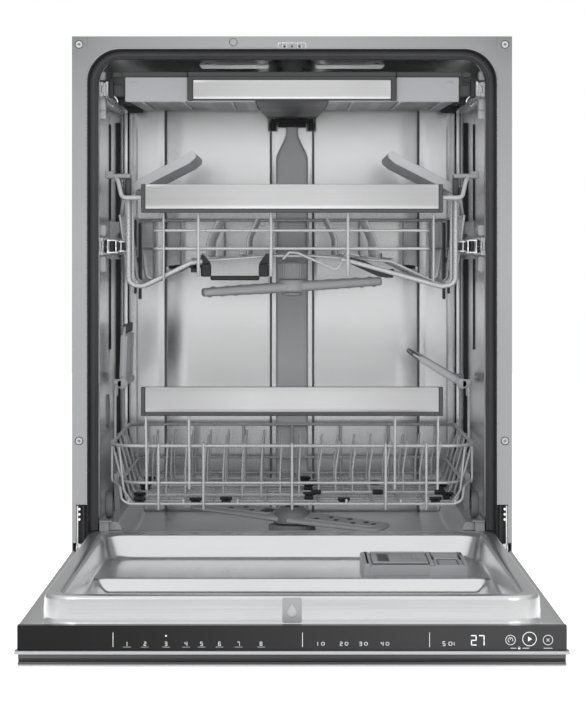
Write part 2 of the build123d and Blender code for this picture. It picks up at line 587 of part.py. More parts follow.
# ================================================================ spray arms
# Lower arm: two unequal blades on a hub that turns on the post.
def blade(r0, r1, w0, w1, z0, z1):
    face = make_face(
        Polyline([(r0, -w0, z0), (r1 - w1, -w1, z0), (r1, -w1 * 0.45, z0), (r1, w1 * 0.45, z0), (r1 - w1, w1, z0), (r0, w0, z0)], close=True)
    )
    return extrude(face, amount=z1 - z0, dir=(0, 0, 1))


hub = cyl_z(0, 0, 158.2, 182, 27)
low_arm = join(hub, blade(10, LOW_ARM_R, 24, 19, 160, 172), Rot(0, 0, 180) * blade(10, LOW_ARM_R + 10, 24, 19, 160, 172))
low_arm -= cyl_z(0, 0, 150, 190, BORE_R)
LOW_ARM_TURN = -32.0
save("lower_spray_arm", Pos(0, ARM_Y, 0) * Rot(0, 0, LOW_ARM_TURN) * low_arm)

# Middle arm: slim, its blades set at opposite pitch.
tip = blade(10, UP_ARM_R, 19, 12, 500, 511)
up_arm = join(
    cyl_z(0, 0, 497.4, 516, 22),
    Pos(0, 0, 505.5) * Rot(0, -3.5, 0) * Pos(0, 0, -505.5) * tip,
    Rot(0, 0, 180) * (Pos(0, 0, 505.5) * Rot(0, 3.5, 0) * Pos(0, 0, -505.5) * tip),
)
up_arm -= cyl_z(0, 0, 480, 530, BORE_R)
up_arm -= cyl_z(0, 0, 480, 497.4, 40)
UP_ARM_TURN = 8.0
save("middle_spray_arm", Pos(0, ARM_Y, 0) * Rot(0, 0, UP_ARM_TURN) * up_arm)

# ================================================================ top tray
WING_IN, WING_OUT = 50.0, 236.0
wing = [
    bx(-WING_OUT, -WING_IN, 28, 466, TRAY_Z, TRAY_Z + 3),
    bx(-WING_OUT, -WING_OUT + 3, 28, 466, TRAY_Z + 3, 790),
    bx(-WING_IN - 3, -WING_IN, 28, 466, TRAY_Z + 3, 782),
    bx(-WING_OUT + 3, -WING_IN - 3, 463, 466, TRAY_Z + 3, 790),
    bx(-WING_OUT, -142.6, 24.5, 28, 762, 796),
    bx(-142.6, -WING_IN, 25.2, 28, 762, 788),
]
save("tray_wings", both(wing[0]), both(wing[1]), both(wing[2]), both(wing[3]), both(wing[4]), both(wing[5]))

centre = [
    bx(-WING_IN + 0.4, WING_IN - 0.4, 28, 466, TRAY_Z, TRAY_Z + 2.5),
    bx(-WING_IN + 0.4, WING_IN - 0.4, 463, 466, TRAY_Z + 2.5, 782),
    bx(-WING_IN + 0.4, WING_IN - 0.4, 25.2, 28, TRAY_Z, 788),
]
for k in range(6):
    centre.append(bx(-WING_IN + 3, WING_IN - 3, 80 + 62 * k, 83 + 62 * k, TRAY_Z + 2.5, 778))
save("tray_centre", centre)

plate = bx(-135.5, 135.5, 20, 21.2, 766, 792)
caps = both(bx(-142.4, -135.8, 20.2, 24.4, 765, 796))
band = bx(-135.6, 135.6, 21.6, 24.4, 766, 796)
tray_rails = both(
    join(
        bx(-256, -252.2, 52, 482, TRAY_RAIL_Z0 + 1, TRAY_RAIL_Z1 - 1),
        bx(-252.4, -236.05, 100, 130, TRAY_RAIL_Z0 + 3, TRAY_RAIL_Z1 - 4),
        bx(-252.4, -236.05, 400, 430, TRAY_RAIL_Z0 + 3, TRAY_RAIL_Z1 - 4),
    )
)
save("tray_handle_plate", plate)
save("tray_frame", caps, band, tray_rails)
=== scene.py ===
import math
import bpy
import bmesh
from mathutils import Matrix, Vector


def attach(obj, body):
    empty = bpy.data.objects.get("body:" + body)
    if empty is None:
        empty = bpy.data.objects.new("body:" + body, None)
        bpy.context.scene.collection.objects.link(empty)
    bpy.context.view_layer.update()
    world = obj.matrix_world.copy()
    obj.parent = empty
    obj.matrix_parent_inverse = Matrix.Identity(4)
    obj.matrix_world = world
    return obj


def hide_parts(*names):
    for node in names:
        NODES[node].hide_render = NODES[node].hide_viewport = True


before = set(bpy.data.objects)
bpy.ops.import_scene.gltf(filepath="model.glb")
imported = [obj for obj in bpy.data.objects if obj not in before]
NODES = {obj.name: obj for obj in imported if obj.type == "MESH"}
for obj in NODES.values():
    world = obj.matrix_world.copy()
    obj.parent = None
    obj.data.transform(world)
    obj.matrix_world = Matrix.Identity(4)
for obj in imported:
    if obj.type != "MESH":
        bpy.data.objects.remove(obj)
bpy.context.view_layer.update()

SHIFT = 72.0            # the model's front flange is at y = SHIFT in the frame, in millimetres


def W(p):
    """Millimetres from the flange plane to metres in the frame."""
    return Vector((p[0] / 1000.0, (p[1] + SHIFT) / 1000.0, p[2] / 1000.0))


# ================================================================ materials
def new_mat(name):
    m = bpy.data.materials.new(name)
    m.use_nodes = True
    nt = m.node_tree
    bsdf = nt.nodes["Principled BSDF"]
    return m, nt, bsdf


def noise(nt, scale, detail=4.0, stretch=(1, 1, 1), rough=0.55):
    tc = nt.nodes.new("ShaderNodeTexCoord")
    mp = nt.nodes.new("ShaderNodeMapping")
    mp.inputs["Scale"].default_value = stretch
    n = nt.nodes.new("ShaderNodeTexNoise")
    n.inputs["Scale"].default_value = scale
    n.inputs["Detail"].default_value = detail
    n.inputs["Roughness"].default_value = rough
    nt.links.new(tc.outputs["Object"], mp.inputs["Vector"])
    nt.links.new(mp.outputs["Vector"], n.inputs["Vector"])
    return n.outputs["Fac"]


def ramp(nt, fac, stops):
    r = nt.nodes.new("ShaderNodeValToRGB")
    el = r.color_ramp.elements
    while len(el) < len(stops):
        el.new(0.5)
    for e, (pos, col) in zip(el, stops):
        e.position = pos
        e.color = (col[0], col[1], col[2], 1.0)
    nt.links.new(fac, r.inputs["Fac"])
    return r.outputs["Color"]


def span(nt, fac, lo, hi, a=0.3, b=0.7):
    r = nt.nodes.new("ShaderNodeMapRange")
    r.inputs["From Min"].default_value = a
    r.inputs["From Max"].default_value = b
    r.inputs["To Min"].default_value = lo
    r.inputs["To Max"].default_value = hi
    nt.links.new(fac, r.inputs["Value"])
    return r.outputs["Result"]


def calc(nt, op, a, b=None):
    """One arithmetic node; a and b are sockets or numbers."""
    n = nt.nodes.new("ShaderNodeMath")
    n.operation = op
    for k, v in enumerate((a, b)):
        if v is None:
            continue
        if isinstance(v, (int, float)):
            n.inputs[k].default_value = v
        else:
            nt.links.new(v, n.inputs[k])
    return n.outputs[0]


def bump(nt, bsdf, height, strength, dist=0.0005, prev=None):
    b = nt.nodes.new("ShaderNodeBump")
    b.inputs["Strength"].default_value = strength
    b.inputs["Distance"].default_value = dist
    nt.links.new(height, b.inputs["Height"])
    if prev is not None:
        nt.links.new(prev, b.inputs["Normal"])
    nt.links.new(b.outputs["Normal"], bsdf.inputs["Normal"])
    return b.outputs["Normal"]


def shade(c, k):
    return tuple(max(0.0, min(1.0, v * k)) for v in c)


def edge_wear(nt, colour_socket, light, amount=0.5):
    """Lightens worn edges a little."""
    g = nt.nodes.new("ShaderNodeNewGeometry")
    f = span(nt, g.outputs["Pointiness"], 0.0, amount, 0.52, 0.60)
    mix = nt.nodes.new("ShaderNodeMix")
    mix.data_type = "RGBA"
    mix.inputs["B"].default_value = (light[0], light[1], light[2], 1)
    nt.links.new(f, mix.inputs["Factor"])
    nt.links.new(colour_socket, mix.inputs["A"])
    return mix.outputs["Result"]


def metal(name, base, r_lo, r_hi, stretch, scale=1.0, bump_k=0.06, cloud=0.06, dist=0.0002):
    """Sheet or bar metal with fine lines along its rolling direction and broad soft clouding."""
    m, nt, b = new_mat(name)
    b.inputs["Metallic"].default_value = 1.0
    lines = noise(nt, scale, 5.0, stretch, 0.6)
    broad = noise(nt, 3.5, 3.0)
    col = ramp(nt, lines, [(0.25, shade(base, 1 - cloud)), (0.75, shade(base, 1 + cloud * 0.6))])
    broad_col = ramp(nt, broad, [(0.3, (0.93, 0.93, 0.935)), (0.7, (1, 1, 1))])
    mul = nt.nodes.new("ShaderNodeMix")
    mul.data_type = "RGBA"
    mul.blend_type = "MULTIPLY"
    mul.inputs["Factor"].default_value = 1.0
    nt.links.new(col, mul.inputs["A"])
    nt.links.new(broad_col, mul.inputs["B"])
    nt.links.new(mul.outputs["Result"], b.inputs["Base Color"])
    nt.links.new(span(nt, lines, r_lo, r_hi), b.inputs["Roughness"])
    bump(nt, b, lines, bump_k, dist)
    return m


def plastic(name, base, r_lo=0.38, r_hi=0.5, grain=1400.0, bump_k=0.10, vary=0.06, wear=None, spec=0.5):
    """Moulded plastic: fine spark-eroded grain, slight colour drift, edges a touch lighter."""
    m, nt, b = new_mat(name)
    g = noise(nt, grain, 2.0)
    c = noise(nt, 9.0, 3.0)
    col = ramp(nt, c, [(0.3, shade(base, 1 - vary)), (0.7, shade(base, 1 + vary))])
    if wear:
        col = edge_wear(nt, col, wear, 0.45)
    nt.links.new(col, b.inputs["Base Color"])
    nt.links.new(span(nt, c, r_lo, r_hi), b.inputs["Roughness"])
    b.inputs["Specular IOR Level"].default_value = spec
    bump(nt, b, g, bump_k, 0.0002)
    return m


def painted(name, base, r_lo=0.3, r_hi=0.42, metallic=0.0, peel=220.0, bump_k=0.05, vary=0.03):
    """Coated metal: faint orange peel under a satin film."""
    m, nt, b = new_mat(name)
    p = noise(nt, peel, 2.0)
    c = noise(nt, 5.0, 3.0)
    nt.links.new(ramp(nt, c, [(0.3, shade(base, 1 - vary)), (0.7, shade(base, 1 + vary))]), b.inputs["Base Color"])
    nt.links.new(span(nt, p, r_lo, r_hi), b.inputs["Roughness"])
    b.inputs["Metallic"].default_value = metallic
    bump(nt, b, p, bump_k, 0.0003)
    return m


MAT = {}
MAT["stainless_v"] = metal("stainless_v", (0.84, 0.845, 0.85), 0.20, 0.26, (500, 500, 5), 1.0, 0.012, 0.02)
MAT["stainless_d"] = metal("stainless_d", (0.80, 0.805, 0.81), 0.20, 0.27, (5, 500, 500), 1.0, 0.012, 0.02)
MAT["stainless_floor"] = metal("stainless_floor", (0.90, 0.905, 0.91), 0.34, 0.46, (6, 700, 700), 1.0, 0.05, 0.06)
MAT["brushed"] = None
MAT["chrome"] = metal("chrome", (0.82, 0.82, 0.83), 0.06, 0.14, (400, 400, 400), 1.0, 0.02, 0.03)
MAT["rail"] = metal("rail", (0.62, 0.63, 0.64), 0.22, 0.36, (700, 8, 700), 1.0, 0.06, 0.08)
MAT["spring"] = metal("spring", (0.40, 0.40, 0.41), 0.3, 0.45, (500, 500, 500), 1.0, 0.1, 0.1)
MAT["trim"] = metal("trim", (0.42, 0.42, 0.43), 0.22, 0.34, (6, 900, 1800), 1.0, 0.08, 0.06)
MAT["galv"] = None
MAT["flange"] = painted("flange", (0.31, 0.315, 0.32), 0.34, 0.44, 0.15)


def paint_corner_shade(m, stops):
    """Painted shade that deepens towards the two upper corners of the front."""
    nt = m.node_tree
    base = nt.nodes["Principled BSDF"].inputs["Base Color"]
    was = base.links[0].from_socket
    tc = nt.nodes.new("ShaderNodeTexCoord")
    sep = nt.nodes.new("ShaderNodeSeparateXYZ")
    nt.links.new(tc.outputs["Object"], sep.inputs["Vector"])
    dx = calc(nt, "SUBTRACT", 0.3, calc(nt, "ABSOLUTE", sep.outputs["X"]))
    dz = calc(nt, "SUBTRACT", 0.85, sep.outputs["Z"])
    far = calc(nt, "SQRT", calc(nt, "ADD", calc(nt, "MULTIPLY", dx, dx), calc(nt, "MULTIPLY", dz, dz)))
    mx = nt.nodes.new("ShaderNodeMix")
    mx.data_type, mx.blend_type = "RGBA", "MULTIPLY"
    mx.inputs[0].default_value = 1.0
    nt.links.new(was, mx.inputs[6])
    nt.links.new(ramp(nt, far, [(d, (k, k, k)) for d, k in stops]), mx.inputs[7])
    nt.links.new(mx.outputs[2], base)


# painted shade on the face frame's steel, darker towards its upper corners
paint_corner_shade(MAT["flange"], [(0.0, 0.55), (0.05, 0.72), (0.12, 0.82), (0.25, 0.96), (0.45, 0.95), (0.65, 1.0)])
MAT["rack"] = painted("rack", (0.47, 0.475, 0.485), 0.24, 0.36, 0.35, 500.0, 0.05, 0.04)
MAT["cap"] = plastic("cap", (0.030, 0.030, 0.031), 0.40, 0.52, 1400.0, 0.08, 0.06, (0.05, 0.05, 0.052))
MAT["rubber"] = plastic("rubber", (0.050, 0.050, 0.053), 0.5, 0.65, 900.0, 0.15, 0.15, spec=0.35)
MAT["dark"] = plastic("dark", (0.044, 0.044, 0.047), 0.38, 0.5, 1400.0, 0.10, 0.10, (0.085, 0.085, 0.09))
MAT["black"] = plastic("black", (0.012, 0.012, 0.013), 0.35, 0.5, 1400.0, 0.10, 0.12, (0.05, 0.05, 0.05), spec=0.3)
MAT["grey"] = plastic("grey", (0.30, 0.305, 0.315), 0.34, 0.46, 1400.0, 0.06, 0.05, (0.40, 0.405, 0.415))
MAT["light"] = plastic("light", (0.36, 0.365, 0.385), 0.34, 0.46, 1400.0, 0.06, 0.04, (0.52, 0.525, 0.54))
MAT["white"] = plastic("white", (0.78, 0.78, 0.76), 0.36, 0.5, 1200.0, 0.08, 0.03)
MAT["board"] = plastic("board", (0.03, 0.14, 0.06), 0.3, 0.45, 900.0, 0.08, 0.2)
MAT["gloss"] = plastic("gloss", (0.008, 0.008, 0.010), 0.16, 0.24, 2200.0, 0.02, 0.08, spec=0.2)
MAT["edge"] = plastic("edge", (0.025, 0.025, 0.026), 0.38, 0.5, 1400.0, 0.10, 0.10)


def paint_side_reflection(m, stops):
    """Painted reflection: a grey ramp across the door from its left end to its right sets the colour."""
    nt = m.node_tree
    base = nt.nodes["Principled BSDF"].inputs["Base Color"]
    tc = nt.nodes.new("ShaderNodeTexCoord")
    sep = nt.nodes.new("ShaderNodeSeparateXYZ")
    nt.links.new(tc.outputs["Object"], sep.inputs["Vector"])
    at = calc(nt, "ADD", sep.outputs["X"], 0.3)
    nt.links.new(ramp(nt, at, [(d, (k, k, k * 1.04)) for d, k in stops]), base)


# painted reflection: the gloss black strip is brighter towards the right, the door's edge bar brighter towards both
# ends
paint_side_reflection(MAT["gloss"], [(0.02, 0.0012), (0.12, 0.0035), (0.30, 0.0150), (0.46, 0.0280), (0.58, 0.0345)])
paint_side_reflection(MAT["edge"], [(0.02, 0.050), (0.15, 0.030), (0.30, 0.018), (0.46, 0.030), (0.58, 0.062)])
# painted light: duct, arm and arm_low are lighter copies of the grey plastic, lifted to make up for the shade at the
# tub's back and under the racks
MAT["duct"] = plastic("duct", (0.48, 0.485, 0.50), 0.36, 0.48, 1400.0, 0.06, 0.04, (0.55, 0.555, 0.57))
MAT["arm"] = plastic("arm", (0.42, 0.425, 0.44), 0.34, 0.46, 1400.0, 0.06, 0.04, (0.50, 0.505, 0.52))
MAT["arm_low"] = plastic("arm_low", (0.40, 0.405, 0.42), 0.34, 0.46, 1400.0, 0.06, 0.04, (0.70, 0.705, 0.72))
MAT["wing"] = plastic("wing", (0.275, 0.28, 0.295), 0.36, 0.48, 1400.0, 0.06, 0.04, (0.36, 0.365, 0.38))
# painted light: the wing floors get a lighter copy of the wing plastic, to make up for the shade under the tray
MAT["wing_underside_lifted"] = plastic("wing_underside_lifted", (0.46, 0.465, 0.48), 0.36, 0.48, 1400.0, 0.06, 0.04, (0.54, 0.545, 0.56))
MAT["doser"] = plastic("doser", (0.22, 0.225, 0.235), 0.34, 0.46, 1400.0, 0.06, 0.05, (0.30, 0.305, 0.315))
MAT["wheel"] = plastic("wheel", (0.17, 0.17, 0.175), 0.40, 0.52, 1400.0, 0.08, 0.06, (0.16, 0.16, 0.165))
MAT["insert"] = plastic("insert", (0.25, 0.255, 0.265), 0.34, 0.46, 1400.0, 0.06, 0.04, (0.33, 0.335, 0.345))
MAT["icon"] = plastic("icon", (0.72, 0.73, 0.75), 0.35, 0.45, 1500.0, 0.02, 0.03)


def galv_mat():
    """Zinc-coated sheet with its crystal spangle."""
    m, nt, b = new_mat("galv")
    tc = nt.nodes.new("ShaderNodeTexCoord")
    v = nt.nodes.new("ShaderNodeTexVoronoi")
    v.inputs["Scale"].default_value = 160.0
    nt.links.new(tc.outputs["Object"], v.inputs["Vector"])
    col = ramp(nt, v.outputs["Color"], [(0.1, (0.44, 0.45, 0.46)), (0.9, (0.50, 0.51, 0.52))])
    nt.links.new(col, b.inputs["Base Color"])
    b.inputs["Metallic"].default_value = 0.85
    f = noise(nt, 60.0, 3.0)
    nt.links.new(span(nt, f, 0.38, 0.55), b.inputs["Roughness"])
    bump(nt, b, f, 0.05, 0.0003)
    return m


def felt_mat():
    """Pressed felt: tangled fibres, mottled grey."""
    m, nt, b = new_mat("felt")
    a = noise(nt, 600.0, 6.0, (1, 1, 1), 0.75)
    c = noise(nt, 40.0, 4.0)
    col1 = ramp(nt, a, [(0.3, (0.10, 0.10, 0.105)), (0.7, (0.26, 0.26, 0.27))])
    col2 = ramp(nt, c, [(0.3, (0.8, 0.8, 0.8)), (0.7, (1.0, 1.0, 1.0))])
    mul = nt.nodes.new("ShaderNodeMix")
    mul.data_type = "RGBA"
    mul.blend_type = "MULTIPLY"
    mul.inputs["Factor"].default_value = 1.0
    nt.links.new(col1, mul.inputs["A"])
    nt.links.new(col2, mul.inputs["B"])
    nt.links.new(mul.outputs["Result"], b.inputs["Base Color"])
    nt.links.new(span(nt, a, 0.85, 0.98), b.inputs["Roughness"])
    b.inputs["Sheen Weight"].default_value = 0.25
    bump(nt, b, a, 0.6, 0.0012)
    return m


def brushed_mat():
    """Brushed handle face: long fine lines, with painted shade that darkens its colour towards its two ends."""
    m = metal("brushed", (0.70, 0.70, 0.705), 0.28, 0.42, (4, 900, 2200), 1.0, 0.10, 0.07, 0.0003)
    nt = m.node_tree
    b = nt.nodes["Principled BSDF"]
    old = b.inputs["Base Color"].links[0].from_socket
    tc = nt.nodes.new("ShaderNodeTexCoord")
    sep = nt.nodes.new("ShaderNodeSeparateXYZ")
    nt.links.new(tc.outputs["Object"], sep.inputs["Vector"])
    # painted shade: the colour falls to 0.7 towards both ends of the plate
    end_shade = span(nt, sep.outputs["X"], 0.0, 1.0, -0.205, 0.205)
    col = ramp(nt, end_shade, [(0.0, (0.70, 0.70, 0.70)), (0.36, (1, 1, 1)), (0.64, (1, 1, 1)), (1.0, (0.70, 0.70, 0.70))])
    mul = nt.nodes.new("ShaderNodeMix")
    mul.data_type = "RGBA"
    mul.blend_type = "MULTIPLY"
    mul.inputs["Factor"].default_value = 1.0
    nt.links.new(old, mul.inputs["A"])
    nt.links.new(col, mul.inputs["B"])
    nt.links.new(mul.outputs["Result"], b.inputs["Base Color"])
    return m


MAT["brushed"] = brushed_mat()
MAT["galv"] = galv_mat()
MAT["felt"] = felt_mat()

# ---- every carried-over node gets its finish
FINISH = {
    "front_flange": "flange", "tub_wrapper": "stainless_v", "tub_back_wall": "stainless_v", "tub_floor": "stainless_floor",
    "door_gasket": "rubber", "side_panels": "galv", "insulation_blanket": "felt", "base_tray": "dark",
    "leveling_feet": "black", "sump": "grey", "filter_plate": "stainless_floor", "filter_basket": "grey",
    "wash_pump": "dark", "pump_impeller": "grey", "drain_pump": "dark", "inlet_valve": "white", "terminal_box": "black",
    "water_duct": "grey", "fixed_rails": "rail", "upper_middle_rails": "rail", "tray_middle_rails": "rail",
    "hinge_brackets": "rail", "door_springs": "spring", "latch_keeper": "chrome", "door_inner_panel": "stainless_d",
    "door_outer_panel": "flange", "control_fascia": "gloss", "fascia_trim": "trim", "control_board": "board",
    "dispenser_body": "dark", "detergent_lid": "grey", "rinse_aid_flap": "grey", "latch_insert": "grey",
    "latch_catch": "dark", "hinge_arms": "chrome", "lower_rack_floor": "rack", "lower_rack_walls": "rack",
    "fold_tines_front": "rack", "fold_tines_rear": "rack", "lower_handle_plate": "brushed", "lower_handle_frame": "dark",
    "wheel_carriers": "dark", "front_wheels": "dark", "rear_wheels": "dark", "stem_support_left": "grey",
    "stem_support_right": "grey", "upper_rack_floor": "rack", "upper_rack_walls": "rack", "upper_handle_plate": "brushed",
    "upper_handle_frame": "dark", "upper_rack_rails": "rail", "feed_pipe": "grey", "cup_shelf_left": "grey",
    "cup_shelf_right": "grey", "lower_spray_arm": "grey", "middle_spray_arm": "grey", "tray_wings": "light",
    "tray_centre": "dark", "tray_handle_plate": "brushed", "tray_frame": "dark",
}
for node, obj in NODES.items():
    obj.data.materials.clear()
    obj.data.materials.append(MAT[FINISH[node]])


# ================================================================ mesh helpers
class MB:
    """Collects verts and faces in millimetres, then makes one object."""

    def __init__(self):
        self.v, self.f = [], []

    def add(self, verts, faces):
        k = len(self.v)
        self.v.extend([Vector(p) for p in verts])
        self.f.extend([tuple(i + k for i in f) for f in faces])
        return self

    def box(self, x0, x1, y0, y1, z0, z1):
        v = [(x, y, z) for z in (z0, z1) for y in (y0, y1) for x in (x0, x1)]
        f = [(0, 2, 3, 1), (4, 5, 7, 6), (0, 1, 5, 4), (2, 6, 7, 3), (0, 4, 6, 2), (1, 3, 7, 5)]
        return self.add(v, f)

    def rings(self, rings, closed=True, cap0=True, cap1=True):
        """Joins rings of equal point counts into a skin."""
        n = len(rings[0])
        verts = [p for r in rings for p in r]
        faces = []
        for i in range(len(rings) - 1):
            for j in range(n if closed else n - 1):
                a, b = i * n + j, i * n + (j + 1) % n
                faces.append((a, b, b + n, a + n))
        if cap0:
            faces.append(tuple(range(n - 1, -1, -1)))
        if cap1:
            k = (len(rings) - 1) * n
            faces.append(tuple(range(k, k + n)))
        return self.add(verts, faces)

    def tube(self, path, r, seg=10, closed=False, dome=True):
        """Round bar along a path of points; r may be a list."""
        pts = [Vector(p) for p in path]
        n = len(pts)
        rad = r if isinstance(r, (list, tuple)) else [r] * n
        tan = []
        for i in range(n):
            if closed:
                t = pts[(i + 1) % n] - pts[i - 1]
            elif i == 0:
                t = pts[1] - pts[0]
            elif i == n - 1:
                t = pts[-1] - pts[-2]
            else:
                t = (pts[i + 1] - pts[i]).normalized() + (pts[i] - pts[i - 1]).normalized()
            tan.append(t.normalized())
        up = Vector((0, 0, 1)) if abs(tan[0].z) < 0.9 else Vector((1, 0, 0))
        u = tan[0].cross(up).normalized()
        rings = []
        for i in range(n):
            u = (u - tan[i] * u.dot(tan[i])).normalized()
            w = tan[i].cross(u)
            rings.append([pts[i] + (u * math.cos(2 * math.pi * k / seg) + w * math.sin(2 * math.pi * k / seg)) * rad[i] for k in range(seg)])
        if closed:
            rings.append(rings[0])
            return self.rings(rings, True, False, False)
        if dome:
            first, last = [], []
            for s, k in ((0.95, 0.35), (0.7, 0.72)):
                first.insert(0, [pts[0] + (p - pts[0]) * s - tan[0] * rad[0] * k for p in rings[0]])
                last.append([pts[-1] + (p - pts[-1]) * s + tan[-1] * rad[-1] * k for p in rings[-1]])
            rings = first + rings + last
        return self.rings(rings)

    def lathe(self, centre, axis, profile, seg=32):
        """Turned piece: profile of (radius, height) along axis from centre."""
        c, a = Vector(centre), Vector(axis).normalized()
        up = Vector((0, 0, 1)) if abs(a.z) < 0.9 else Vector((1, 0, 0))
        u = a.cross(up).normalized()
        w = a.cross(u)
        rings = [
            [c + a * h + (u * math.cos(2 * math.pi * k / seg) + w * math.sin(2 * math.pi * k / seg)) * max(r, 0.01) for k in range(seg)]
            for r, h in profile
        ]
        return self.rings(rings)

    def prism(self, pts, d):
        """Flat polygon pushed along d."""
        d = Vector(d)
        return self.rings([[Vector(p) for p in pts], [Vector(p) + d for p in pts]])

    def moved(self, m):
        self.v = [m @ p for p in self.v]
        return self

    def mirrored(self):
        o = MB()
        o.v = [Vector((-p.x, p.y, p.z)) for p in self.v]
        o.f = [tuple(reversed(f)) for f in self.f]
        return o

    def merge(self, other):
        return self.add(other.v, other.f)

    def obj(self, name, body, slot, mat, replaces=(), bevel=0.0, seg=2, sub=0, sharp=35.0, limit=40.0):
        me = bpy.data.meshes.new(name)
        me.from_pydata([W(p) for p in self.v], [], self.f)
        me.validate()
        bm = bmesh.new()
        bm.from_mesh(me)
        bmesh.ops.remove_doubles(bm, verts=bm.verts, dist=1e-6)
        bmesh.ops.recalc_face_normals(bm, faces=bm.faces)
        bm.to_mesh(me)
        bm.free()
        for p in me.polygons:
            p.use_smooth = True
        me.set_sharp_from_angle(angle=math.radians(sharp))
        o = bpy.data.objects.new(name, me)
        bpy.context.scene.collection.objects.link(o)
        me.materials.append(MAT[mat])
        if bevel:
            b = o.modifiers.new("bevel", "BEVEL")
            b.width = bevel / 1000.0
            b.segments = seg
            b.limit_method = "ANGLE"
            b.angle_limit = math.radians(limit)
            b.harden_normals = True
        if sub:
            s = o.modifiers.new("sub", "SUBSURF")
            s.levels = s.render_levels = sub
        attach(o, body)
        if replaces:
            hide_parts(*replaces)
        return o


def bend(pts, rad, n=6):
    """Wire path: straight runs with rounded bends of radius rad (one number or one per inner corner)."""
    P = [Vector(p) for p in pts]
    out = [P[0]]
    for i in range(1, len(P) - 1):
        r = rad[i - 1] if isinstance(rad, (list, tuple)) else rad
        a, b = (P[i - 1] - P[i]).normalized(), (P[i + 1] - P[i]).normalized()
        ang = a.angle(b)
        if ang > math.pi - 0.02 or r <= 0:
            out.append(P[i])
            continue
        t = min(r / math.tan(ang / 2), (P[i - 1] - P[i]).length * 0.49, (P[i + 1] - P[i]).length * 0.49)
        r = t * math.tan(ang / 2)
        mid = (a + b).normalized()
        c = P[i] + mid * (r / math.sin(ang / 2))
        s, e = P[i] + a * t - c, P[i] + b * t - c
        sweep = s.angle(e)
        for k in range(n + 1):
            f = k / n
            out.append(c + (s * math.sin((1 - f) * sweep) + e * math.sin(f * sweep)) / math.sin(sweep))
    out.append(P[-1])
    return out


def round_rect(x0, x1, y0, y1, r, z, n=8):
    """Outline with rounded corners in a level plane, anticlockwise."""
    out = []
    for cx, cy, a0 in ((x1 - r, y1 - r, 0), (x0 + r, y1 - r, 90), (x0 + r, y0 + r, 180), (x1 - r, y0 + r, 270)):
        for k in range(n + 1):
            a = math.radians(a0 + 90.0 * k / n)
            out.append(Vector((cx + r * math.cos(a), cy + r * math.sin(a), z)))
    return out


# ================================================================ door
def step(a, b, x):
    t = max(0.0, min(1.0, (x - a) / (b - a)))
    return t * t * (3 - 2 * t)


def soft(t):
    """Straight ramp from 0 to 1 with eased ends."""
    g = lambda v: max(0.0, min(1.0, v))
    return (g(t + 0.10) + g(t) + g(t - 0.10)) / 3


def pan_z(x, y):
    """Level of the recess: a shelf that dips and rises behind, then a deep pocket towards the door's top edge."""
    z = 148.2 + 1.4 * min(1.0, max(0.0, (-84 - y) / 84.0)) + 1.1 * min(1.0, max(0.0, (-168 - y) / 123.0))
    r = 14.0
    dx, dy = abs(x) - (247 - r), abs(y + 459.5) - (168.5 - r)
    d = -(math.hypot(max(dx, 0), max(dy, 0)) + min(max(dx, dy), 0) - r)
    return z - 15.5 * soft(d / 17.0)


